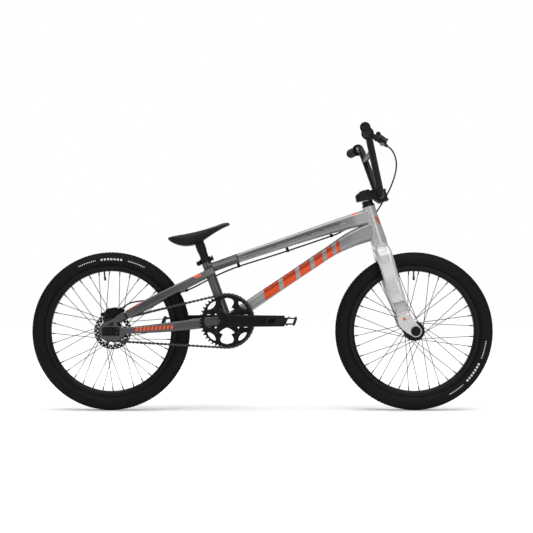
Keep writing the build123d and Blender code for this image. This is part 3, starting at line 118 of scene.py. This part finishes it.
class Look:
    """One procedural material. Masks and variation are built from the piece's own coordinates."""

    def __init__(self, name, rough, metallic=0.0, coat=0.0, specular=0.5):
        self.material = bpy.data.materials.new(name)
        self.material.use_nodes = True
        self.tree = self.material.node_tree
        self.shader = self.tree.nodes["Principled BSDF"]
        self.rough = rough
        self.shader.inputs["Roughness"].default_value = rough
        self.shader.inputs["Metallic"].default_value = metallic
        self.shader.inputs["Coat Weight"].default_value = coat
        self.shader.inputs["Coat Roughness"].default_value = 0.12
        self.shader.inputs["Specular IOR Level"].default_value = specular
        self.place = self.tree.nodes.new("ShaderNodeTexCoord").outputs["Object"]

    def node(self, kind, **settings):
        made = self.tree.nodes.new(kind)
        for key, value in settings.items():
            setattr(made, key, value)
        return made

    def put(self, socket, value):
        if isinstance(value, bpy.types.NodeSocket):
            self.tree.links.new(value, socket)
        else:
            socket.default_value = value

    def math(self, operation, first, second=0.0):
        made = self.node("ShaderNodeMath", operation=operation)
        self.put(made.inputs[0], first)
        self.put(made.inputs[1], second)
        return made.outputs[0]

    def noise(self, scale, detail=3.0):
        made = self.node("ShaderNodeTexNoise")
        self.put(made.inputs["Vector"], self.place)
        self.put(made.inputs["Scale"], scale)
        self.put(made.inputs["Detail"], detail)
        return made.outputs["Fac"]

    def spread(self, value, low, high, to_low, to_high, smooth=False):
        made = self.node("ShaderNodeMapRange", interpolation_type="SMOOTHSTEP" if smooth else "LINEAR")
        for socket, number in zip(made.inputs[:5], (value, low, high, to_low, to_high)):
            self.put(socket, number)
        return made.outputs[0]

    def band(self, value, low, high, soft=0.0003):
        rising = self.spread(value, low - soft, low + soft, 0, 1, True)
        falling = self.spread(value, high - soft, high + soft, 1, 0, True)
        return self.math("MULTIPLY", rising, falling)

    def along(self, origin, direction):
        """Distance of each point from origin along a direction."""
        less = self.node("ShaderNodeVectorMath", operation="SUBTRACT")
        self.put(less.inputs[0], self.place)
        less.inputs[1].default_value = origin
        dot = self.node("ShaderNodeVectorMath", operation="DOT_PRODUCT")
        self.put(dot.inputs[0], less.outputs[0])
        dot.inputs[1].default_value = direction
        return dot.outputs["Value"]

    def side_axes(self, origin, angle, slant=0.0):
        """Two distances in the bike's side view: along a line at angle degrees, and across it."""
        turn = math.radians(angle)
        forward = (math.cos(turn), 0, math.sin(turn))
        across = (-math.sin(turn), 0, math.cos(turn))
        leaning = tuple(a - slant * b for a, b in zip(forward, across))
        return self.along(origin, leaning), self.along(origin, across)

    def any_of(self, masks):
        total = masks[0]
        for mask in masks[1:]:
            total = self.math("MAXIMUM", total, mask)
        return total

    def mix(self, amount, under, over):
        made = self.node("ShaderNodeMix", data_type="RGBA")
        self.put(made.inputs[0], amount)
        self.put(made.inputs[6], under)
        self.put(made.inputs[7], over)
        return made.outputs[2]

    def vary(self, base, amount, scale):
        """The base colour, a little lighter and darker from place to place."""
        dark = tuple(c * (1 - amount) for c in base[:3]) + (1,)
        light = tuple(min(1, c * (1 + amount)) for c in base[:3]) + (1,)
        return self.mix(self.noise(scale), dark, light)

    def colour(self, value):
        self.put(self.shader.inputs["Base Color"], value)

    def roughness(self, scale, amount):
        low, high = max(0.02, self.rough - amount), min(1, self.rough + amount)
        self.put(self.shader.inputs["Roughness"], self.spread(self.noise(scale), 0.3, 0.7, low, high))

    def bump(self, height, depth, strength=1.0):
        made = self.node("ShaderNodeBump")
        made.inputs["Strength"].default_value = strength
        made.inputs["Distance"].default_value = depth
        self.put(made.inputs["Height"], height)
        self.put(self.shader.inputs["Normal"], made.outputs["Normal"])


def simple_look(name, base, rough, grain, depth, metallic=0.0, coat=0.0, specular=0.5):
    """One colour with slight variation, and a fine grain of a given scale and depth."""
    look = Look(name, rough, metallic, coat, specular)
    look.colour(look.vary(base, 0.14, grain * 0.12))
    look.roughness(grain * 0.3, 0.07)
    look.bump(look.noise(grain, 6), depth, 0.6)
    return look


def hatch(look, spacing, angle):
    """Fine dark diagonal lines."""
    distance, _ = look.side_axes((0, 0, 0), angle)
    turns = look.math("FRACT", look.math("DIVIDE", distance, spacing))
    return look.band(turns, 0.18, 0.68, 0.1)


def paint_finish(look):
    """Metallic flake and a faint orange-peel surface under the lacquer."""
    look.roughness(90, 0.05)
    look.bump(look.noise(700, 2), 0.00004, 0.3)


def top_tube_paint():
    """Silver with painted shade along the concave side groove, a hatched lower side, and a charcoal rear end
    with a painted highlight band on its side facet.
    """
    look = Look("paint_top_tube", 0.36, metallic=0.6, coat=0.25)
    along, across = look.side_axes((-0.078, 0, 0.4885), 18.7)
    base = look.vary(SILVER, 0.05, 60)
    # Painted shade: a dark band along the concave groove on the tube's side, where shade falls in the recess.
    middle = look.band(across, -0.0095, 0.0072, 0.0022)
    painted_groove_shade = look.math("MULTIPLY", middle, look.band(along, 0.0, 0.345, 0.03))
    base = look.mix(look.math("MULTIPLY", painted_groove_shade, 0.86), base, (0.055, 0.056, 0.058, 1))
    lines = hatch(look, 0.0044, -30)
    under = look.band(across, -0.024, 0.010, 0.002)
    low = look.math("MULTIPLY", under, look.spread(along, 0.10, 0.34, 0.25, 0.95, True))
    low = look.math("MULTIPLY", low, look.band(along, 0.0, 0.392, 0.012))
    base = look.mix(look.math("MULTIPLY", low, lines), base, HATCH_DARK)
    base = look.mix(look.spread(along, -0.0012, 0.0012, 1, 0, True), base, CHARCOAL)
    # Painted highlight: a paler grey band on the charcoal end, standing in for light caught by the flat side
    # facet.
    length = look.band(along, -0.086, -0.006, 0.0008)
    band = look.math("MULTIPLY", length, look.band(across, -0.0045, 0.0045, 0.0008))
    base = look.mix(band, base, (0.20, 0.202, 0.205, 1))
    small, small_high = look.side_axes((0.2865, 0, 0.6235), 18.7, slant=0.5)
    mark = look.math("MULTIPLY", look.band(small, 0.0, 0.019), look.band(small_high, -0.001, 0.0055))
    look.colour(look.mix(mark, base, ORANGE))
    paint_finish(look)
    return look.material


def down_tube_paint():
    """Silver with slanted orange bars along its side and a hatch that grows towards the head tube."""
    look = Look("paint_down_tube", 0.38, metallic=0.6, coat=0.25, specular=0.3)
    along, across = look.side_axes((0.0055, 0, 0.3698), 32.6)
    base = look.vary(SILVER, 0.05, 60)
    lines = hatch(look, 0.0044, -20)
    rising = look.math("ADD", across, look.math("MULTIPLY", along, 0.14))
    upper = look.spread(rising, 0.012, 0.05, 0.0, 0.9, True)
    upper = look.math("MULTIPLY", upper, look.band(along, 0.06, 0.336, 0.002))
    base = look.mix(look.math("MULTIPLY", upper, lines), base, HATCH_DARK)
    plain = look.spread(along, 0.335, 0.337, 0, 0.45, True)
    base = look.mix(plain, base, (0.17, 0.172, 0.175, 1))
    leaning, high = look.side_axes((0.0055, 0, 0.3698), 32.6, slant=0.42)
    bars, start = [], 0.0
    for width in (0.056, 0.048, 0.040, 0.031, 0.022, 0.013):
        bars.append(look.band(leaning, start, start + width))
        start += width + 0.0155
    mask = look.math("MULTIPLY", look.any_of(bars), look.band(high, -0.0172, 0.0176))
    shade = look.mix(look.spread(high, 0.001, 0.0035, 0, 1, True), ORANGE, ORANGE_DARK)
    look.colour(look.mix(mask, base, shade))
    look.put(look.shader.inputs["Metallic"], look.spread(mask, 0, 1, 0.6, 0.0))
    paint_finish(look)
    return look.material


def head_tube_paint():
    """Pale silver with four stepped stripes."""
    look = Look("paint_head_tube", 0.36, metallic=0.5, coat=0.25)
    base = look.vary((0.42, 0.422, 0.425, 1), 0.04, 60)
    stripes = []
    for number in range(4):
        start = (0.3555 + 0.0052 * number, 0, 0.6165 - 0.0062 * number)
        edge, rise = look.side_axes(start, -5, slant=0.5)
        length = 0.027 - 0.004 * number
        stripes.append(look.math("MULTIPLY", look.band(edge, 0.0, length), look.band(rise, -0.0023, 0.0023)))
    look.colour(look.mix(look.any_of(stripes), base, ORANGE))
    paint_finish(look)
    return look.material


def charcoal_paint():
    """Charcoal with a row of slanted bars on the chainstay, a badge and a dotted line on the seatstay."""
    look = Look("paint_charcoal", 0.32, metallic=0.45, coat=0.55)
    base = look.vary(CHARCOAL, 0.08, 60)
    dashes = []
    along, across = look.side_axes((-0.401, 0, 0.2592), 3.6, slant=0.25)
    for number in range(10):
        start = 0.0122 * number
        dashes.append(look.band(along, start, start + 0.0074))
    stay_bars = look.math("MULTIPLY", look.any_of(dashes), look.band(across, -0.0062, 0.0062))
    badge_along, badge_across = look.side_axes((-0.2155, 0, 0.4235), 26, slant=-0.8)
    badge = look.math("MULTIPLY", look.band(badge_along, 0.0, 0.022), look.band(badge_across, -0.004, 0.0105))
    line_along, line_across = look.side_axes((-0.424, 0, 0.3205), 29.5)
    dots = look.math("FRACT", look.math("DIVIDE", line_along, 0.0085))
    line = look.math("MULTIPLY", look.band(line_along, 0, 0.05), look.band(line_across, -0.0012, 0.0014))
    line = look.math("MULTIPLY", line, look.band(dots, 0.05, 0.8, 0.05))
    orange = look.any_of([stay_bars, badge, line])
    look.colour(look.mix(orange, base, ORANGE))
    look.put(look.shader.inputs["Metallic"], look.spread(orange, 0, 1, 0.45, 0.0))
    paint_finish(look)
    return look.material


def pearl_paint():
    """Pale pearl with a faint orange outline and bars on the lower fork leg, and a small diamond."""
    look = Look("paint_pearl", 0.3, metallic=0.35, coat=0.6)
    base = look.vary(PEARL, 0.03, 60)
    along, across = look.side_axes((0.4435, 0, 0.3265), -66, slant=0.0)
    outer = look.math("MULTIPLY", look.band(along, -0.040, 0.040), look.band(across, -0.0125, 0.0125))
    inner = look.math("MULTIPLY", look.band(along, -0.0388, 0.0388), look.band(across, -0.0113, 0.0113))
    frame_line = look.math("SUBTRACT", outer, inner)
    bars = look.math("FRACT", look.math("DIVIDE", along, 0.016))
    fill = look.math("MULTIPLY", look.band(bars, 0.1, 0.55, 0.03), look.band(across, -0.006, 0.006))
    fill = look.math("MULTIPLY", fill, look.band(along, -0.03, 0.03))
    base = look.mix(look.math("MULTIPLY", fill, 0.10), base, ORANGE)
    base = look.mix(look.math("MULTIPLY", frame_line, 0.45), base, ORANGE)
    tip_along, tip_across = look.side_axes((0.449, 0, 0.2915), 0)
    diamond = look.math("ADD", look.math("ABSOLUTE", tip_along), look.math("ABSOLUTE", tip_across))
    tip = look.spread(diamond, 0.0058, 0.0062, 1, 0, True)
    base = look.mix(tip, base, ORANGE)
    look.colour(base)
    paint_finish(look)
    return look.material


def rubber_tyre(name, arc):
    """Black rubber. Pale generic dashes run along part of the sidewall, between two angles."""
    look = Look(name, 0.62, specular=0.1)
    split = look.node("ShaderNodeSeparateXYZ")
    look.put(split.inputs[0], look.place)
    x, z = split.outputs[0], split.outputs[2]
    radius = look.math("SQRT", look.math("ADD", look.math("MULTIPLY", x, x), look.math("MULTIPLY", z, z)))
    angle = look.math("ARCTAN2", z, x)
    low, high = (math.radians(a) for a in arc)
    third = (high - low) / 3
    dash = look.math("FRACT", look.math("DIVIDE", angle, math.radians(2.6)))
    fine = look.math("FRACT", look.math("DIVIDE", angle, math.radians(1.5)))
    middle = look.band(angle, low + third, high - third, 0.001)
    big = look.math("MULTIPLY", middle, look.band(dash, 0.12, 0.72, 0.04))
    big = look.math("MULTIPLY", big, look.band(radius, 0.2265, 0.2325))
    first = look.band(angle, low, low + third * 0.8, 0.001)
    last = look.band(angle, high - third * 0.8, high, 0.001)
    ends = look.any_of([first, last])
    small = look.math("MULTIPLY", look.math("MULTIPLY", ends, look.band(fine, 0.15, 0.65, 0.04)),
                      look.band(radius, 0.2280, 0.2312))
    marks = look.any_of([big, small])
    base = look.vary((0.0052, 0.0052, 0.0054, 1), 0.25, 14)
    look.colour(look.mix(marks, base, (0.62, 0.62, 0.62, 1)))
    look.roughness(120, 0.08)
    look.bump(look.noise(900, 5), 0.0001, 0.5)
    return look.material


def chain_look():
    """Dark brown oiled steel."""
    look = Look("chain_steel", 0.42, metallic=0.8)
    look.colour(look.mix(look.noise(260), (0.030, 0.025, 0.020, 1), (0.085, 0.074, 0.062, 1)))
    look.roughness(300, 0.1)
    look.bump(look.noise(900, 3), 0.00005, 0.5)
    return look.material


# ---- meshes ----

def new_piece(name, verts, faces, material, smooth=True):
    mesh = bpy.data.meshes.new(name)
    mesh.from_pydata([tuple(v) for v in verts], [], faces)
    mesh.validate()
    builder = bmesh.new()
    builder.from_mesh(mesh)
    bmesh.ops.recalc_face_normals(builder, faces=builder.faces)
    builder.to_mesh(mesh)
    builder.free()
    mesh.materials.append(material)
    piece = bpy.data.objects.new(name, mesh)
    bpy.context.scene.collection.objects.link(piece)
    if smooth:
        mesh.polygons.foreach_set("use_smooth", [True] * len(mesh.polygons))
    return piece


def smooth_line(points, steps):
    """Catmull-Rom points through a closed outline."""
    made, count = [], len(points)
    for i in range(count):
        a, b, c, d = (np.array(points[(i + k) % count]) for k in (-1, 0, 1, 2))
        for step in range(steps):
            t = step / steps
            slope, bend, twist = c - a, 2 * a - 5 * b + 4 * c - d, 3 * b - a - 3 * c + d
            made.append(0.5 * (2 * b + slope * t + bend * t**2 + twist * t**3))
    return made


# Radius and half width of the tyre, in mm: the outside from bead to crown, then the inside back again.
CASING = [(201.8, 13.4), (209.2, 13.5), (211.2, 16.8), (215, 20.4), (219, 22.5), (224, 24.2), (229, 24.8),
          (234, 24.6), (238.4, 23.4), (244.2, 18.6), (247.8, 13.0), (249.8, 7.0), (250.6, 0)]
INNER = [(250.0, 0), (248.4, 8.5), (244.1, 16.3), (236.6, 21.2), (229, 22.3), (220, 20.2), (212.5, 15.0),
         (210.3, 12.4), (203, 10.2), (201.8, 10.2)]
SEGMENTS = 220       # steps round the casing
BLOCKS = 138         # tread blocks in each row
TREAD_TOP = 252.9    # radius that no block passes, in mm


def tread_rows():
    """Each row: offset across the tread, half width, share of the pitch that is block, and stagger."""
    right = [(0, 1.9, 0.60, 0.0), (4.6, 1.8, 0.58, 0.0), (9.2, 1.8, 0.58, 0.5), (13.8, 1.9, 0.58, 0.0),
             (18.9, 2.5, 0.58, 0.5)]
    return right + [(-offset, width, share, stagger) for offset, width, share, stagger in right[1:]]


def casing_radius(y):
    """Radius of the casing under the tread, at a distance from the middle plane."""
    radii = [r for r, _ in reversed(CASING[8:])]
    offsets = [w for _, w in reversed(CASING[8:])]
    return float(np.interp(abs(y), offsets, radii))


def tyre(name, body, centre, arc):
    """Casing and tread blocks of one tyre."""
    half = CASING[:-1]
    outline = CASING + [(r, -y) for r, y in reversed(half)]
    outline += [(r, -y) for r, y in reversed(INNER[1:])] + INNER
    profile = smooth_line(outline, 2)
    verts, faces = [], []
    count = len(profile)
    for i in range(SEGMENTS):
        turn = 2 * math.pi * i / SEGMENTS
        verts += [(r * math.cos(turn), y, r * math.sin(turn)) for r, y in profile]
    for i in range(SEGMENTS):
        ahead = (i + 1) % SEGMENTS
        for j in range(count):
            k = (j + 1) % count
            faces.append((i * count + j, i * count + k, ahead * count + k, ahead * count + j))
    pitch = 2 * math.pi / BLOCKS
    for offset, half_width, share, stagger in tread_rows():
        for number in range(BLOCKS):
            middle = (number + stagger) * pitch
            long = pitch * share / 2
            first = len(verts)
            for lift, shrink in ((-1.2, 0.0), (1.6, 0.0), (2.3, 0.38)):
                for da, dy in ((-1, -1), (1, -1), (1, 1), (-1, 1)):
                    y = offset + dy * (half_width - shrink)
                    r = casing_radius(y) + lift
                    y += lift * 0.45 * y / 19
                    angle = middle + da * (long - shrink / 250)
                    r = min(r, TREAD_TOP)
                    verts.append((r * math.cos(angle), y, r * math.sin(angle)))
            for level in (0, 4):
                for side in range(4):
                    after = (side + 1) % 4
                    faces.append((first + level + side, first + level + after,
                                  first + level + 4 + after, first + level + 4 + side))
            faces.append((first + 8, first + 9, first + 10, first + 11))
            faces.append((first + 3, first + 2, first + 1, first))
    verts = [tuple(c / 1000 for c in v) for v in verts]
    piece = new_piece(name, verts, faces, rubber_tyre(name + "_rubber", arc))
    piece.data.set_sharp_from_angle(angle=math.radians(38))
    piece.location = centre
    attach(piece, body)
    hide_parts(name.replace("_tread", "_tyre"))


def saddle_pad():
    """Crowned pad: a swelling edge, a crease line above it, and two slanted channels on each side."""
    source = nodes["saddle_pad"]
    piece = bpy.data.objects.new("saddle_cover", source.data.copy())
    bpy.context.scene.collection.objects.link(piece)
    bpy.context.view_layer.objects.active = piece
    remesh = piece.modifiers.new("even", "REMESH")
    remesh.mode = "VOXEL"
    remesh.voxel_size = 0.0016
    ease = piece.modifiers.new("ease", "SMOOTH")
    ease.iterations = 6
    ease.factor = 0.5
    graph = bpy.context.evaluated_depsgraph_get()
    mesh = bpy.data.meshes.new_from_object(piece.evaluated_get(graph))
    piece.modifiers.clear()
    piece.data = mesh
    for vertex, normal in zip(mesh.vertices, [v.normal.copy() for v in mesh.vertices]):
        x, y, z = vertex.co
        rise = (z - 0.5386) - (x + 0.33) * 0.25
        dent = 0.0
        crease = rise - 0.0085
        if abs(y) > 0.004:
            dent += 0.0009 * math.exp(-((crease / 0.0011) ** 2))
        for start in (-0.262, -0.238):
            across = (x - start) - (z - 0.548) * 0.35
            if normal.z < 0.8:
                dent += 0.0014 * math.exp(-((across / 0.0015) ** 2))
        vertex.co = vertex.co - normal * dent
    mesh.materials.clear()
    skin = simple_look("saddle_skin", (0.020, 0.020, 0.0215, 1), 0.44, 1500, 0.00012, specular=0.4)
    mesh.materials.append(skin.material)
    mesh.polygons.foreach_set("use_smooth", [True] * len(mesh.polygons))
    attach(piece, "saddle")
    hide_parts("saddle_pad")


HOSE_FRONT = [
    (306, 31.0, 596), (326, 32.0, 604.0), (347, 34.5, 614.5), (364, 37.5, 630.5), (378, 40.0, 651.0),
    (390.5, 40.5, 671.5), (400.5, 32.5, 690.0), (408.5, 14.0, 706.5), (414.5, -12.0, 723.0),
    (419.0, -42.0, 740.0), (421.5, -66.0, 755.0), (422.3, -88.0, 770.0), (420.5, -107.0, 786.0),
    (415.5, -121.0, 801.5),
    (408.0, -132.0, 814.5), (398.0, -140.7, 825.4), (387.4, -148.0, 830.7),
]


def front_hose(material):
    """The hose that runs between the frame and the bars."""
    curve = bpy.data.curves.new("front_hose", "CURVE")
    curve.dimensions = "3D"
    curve.bevel_depth = 0.0025
    curve.bevel_resolution = 5
    curve.resolution_u = 10
    curve.use_fill_caps = True
    spline = curve.splines.new("NURBS")
    spline.points.add(len(HOSE_FRONT) - 1)
    for point, (x, y, z) in zip(spline.points, HOSE_FRONT):
        point.co = (x / 1000, y / 1000, z / 1000, 1)
    spline.order_u = 3
    spline.use_endpoint_u = True
    holder = bpy.data.objects.new("front_hose_line", curve)
    bpy.context.scene.collection.objects.link(holder)
    graph = bpy.context.evaluated_depsgraph_get()
    mesh = bpy.data.meshes.new_from_object(holder.evaluated_get(graph))
    bpy.data.objects.remove(holder)
    piece = bpy.data.objects.new("front_hose", mesh)
    bpy.context.scene.collection.objects.link(piece)
    mesh.materials.clear()
    mesh.materials.append(material)
    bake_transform(piece)
    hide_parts("brake_hose_front")


def weld(name, tube_node, other_node, body, material, radius=0.0019):
    """A bead of stacked ripples round the line where one tube meets another."""
    tube_mesh, other = nodes[tube_node].data, nodes[other_node].data
    tree = BVHTree.FromPolygons([v.co for v in other.vertices], [tuple(p.vertices) for p in other.polygons])
    near = []
    for vertex in tube_mesh.vertices:
        hit = tree.find_nearest(vertex.co, 0.0012)
        if hit[0] is not None and hit[3] < 0.0004:
            near.append(np.array(vertex.co))
    if len(near) < 12:
        print("weld", name, "found too few points:", len(near))
        return
    points = np.array(near)
    middle = points.mean(axis=0)
    _, _, axes = np.linalg.svd(points - middle)
    flat = (points - middle) @ axes[:2].T
    angles = np.arctan2(flat[:, 1], flat[:, 0])
    reach = np.hypot(flat[:, 0], flat[:, 1])
    bins = 48
    chosen = []
    for number in range(bins):
        low = -math.pi + 2 * math.pi * number / bins
        inside = (angles >= low) & (angles < low + 2 * math.pi / bins)
        if inside.any():
            chosen.append(points[np.flatnonzero(inside)[np.argmax(reach[inside])]])
    if len(chosen) < 8:
        print("weld", name, "has too few directions:", len(chosen))
        return
    line = [Vector(p) for p in smooth_line([tuple(c) for c in chosen], 8)]
    rings, sides = [], 8
    gone = 0.0
    verts, faces = [], []
    for i, point in enumerate(line):
        ahead, behind = line[(i + 1) % len(line)], line[i - 1]
        tangent = (ahead - behind).normalized()
        out = (point - Vector(middle)).normalized()
        side = tangent.cross(out).normalized()
        out = side.cross(tangent).normalized()
        gone += (ahead - point).length
        swell = radius * (0.84 + 0.16 * abs(math.sin(gone / 0.0022 * math.pi)))
        for k in range(sides):
            turn = 2 * math.pi * k / sides
            verts.append(point + out * swell * 0.75 * math.sin(turn) + side * swell * math.cos(turn))
    count = len(line)
    for i in range(count):
        ahead = (i + 1) % count
        for k in range(sides):
            after = (k + 1) % sides
            faces.append((i * sides + k, i * sides + after, ahead * sides + after, ahead * sides + k))
    piece = new_piece(name, verts, faces, material)
    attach(piece, body)


# ---- assembling the looks ----

def dress(material, *names):
    """Give CAD nodes their material."""
    for name in names:
        mesh = nodes[name].data
        mesh.materials.clear()
        mesh.materials.append(material)


make_camera()
make_studio()

charcoal, pearl = charcoal_paint(), pearl_paint()
dress(top_tube_paint(), "top_tube")
dress(down_tube_paint(), "down_tube")
dress(head_tube_paint(), "head_tube")
dress(charcoal, "seat_tube", "bottom_bracket_shell", "chainstays", "seatstays", "rear_dropouts",
      "stay_bridges")
dress(pearl, "fork")
black_metal = simple_look("black_anodised", (0.0055, 0.0055, 0.0058, 1), 0.36, 900, 0.00003, specular=0.14)
dress(black_metal.material, "stem", "stem_clamp_plate", "headset_spacers", "handlebar", "seat_post",
      "seat_clamp_collar", "seat_clamp_lever", "front_hub", "rear_hub", "front_rim", "rear_rim",
      "brake_lever_body", "brake_lever_blade", "brake_caliper", "bottom_bracket_cups", "front_axle",
      "rear_axle")
crank_metal = simple_look("black_forged", (0.005, 0.005, 0.0053, 1), 0.46, 700, 0.00006, specular=0.12)
dress(crank_metal.material, "crank_arm_right", "crank_arm_left", "chainring")
black_steel = simple_look("black_steel", (0.008, 0.008, 0.008, 1), 0.4, 800, 0.00003, specular=0.2)
dress(black_steel.material, "stem_bolts", "saddle_bolt", "front_spokes", "rear_spokes", "rotor_bolts",
      "chainring_bolts")
bright = simple_look("bright_steel", (0.42, 0.42, 0.43, 1), 0.28, 600, 0.00003, metallic=1.0)
dress(bright.material, "headset_bearings", "front_hub_bearings", "rear_hub_bearings")
dark_steel = simple_look("dark_steel", (0.055, 0.054, 0.053, 1), 0.38, 600, 0.00003, metallic=0.9)
dress(dark_steel.material, "brake_rotor", "pedal_axles")
dress(crank_metal.material, "crank_spindle")
dress(chain_look(), "chain", "rear_cog")
soft_grip = simple_look("grip_rubber", (0.0062, 0.0062, 0.0064, 1), 0.72, 1400, 0.0002, specular=0.12)
dress(soft_grip.material, "grip_left", "grip_right")
plastic = simple_look("black_plastic", (0.0065, 0.0065, 0.0068, 1), 0.5, 1100, 0.00012, specular=0.16)
dress(plastic.material, "saddle_shell", "bar_end_plugs", "hose_clips", "pedal_left", "pedal_right")
hose_skin = simple_look("hose_skin", (0.0055, 0.0055, 0.0055, 1), 0.38, 500, 0.00003, specular=0.18)
dress(hose_skin.material, "brake_hose_rear")
tube_rubber = simple_look("tube_rubber", (0.012, 0.012, 0.012, 1), 0.6, 500, 0.00008)
dress(tube_rubber.material, "front_inner_tube", "rear_inner_tube")
compound = simple_look("pad_compound", (0.09, 0.07, 0.06, 1), 0.8, 900, 0.0002)
dress(compound.material, "brake_pad_inner", "brake_pad_outer")

tyre("front_tread", "front_wheel", FRONT_AXLE, (-62, -8))
tyre("rear_tread", "rear_wheel", REAR_AXLE, (62, 117))
saddle_pad()
front_hose(hose_skin.material)

bead_silver = simple_look("weld_silver", (0.5, 0.5, 0.51, 1), 0.36, 500, 0.00004, metallic=0.5, coat=0.4)
bead_dark = simple_look("weld_charcoal", (0.10, 0.102, 0.105, 1), 0.36, 500, 0.00004, metallic=0.4, coat=0.4)
weld("weld_head_top", "top_tube", "head_tube", "frame", bead_silver.material)
weld("weld_head_down", "down_tube", "head_tube", "frame", bead_silver.material)
weld("weld_seat_top", "top_tube", "seat_tube", "frame", bead_dark.material, 0.0016)
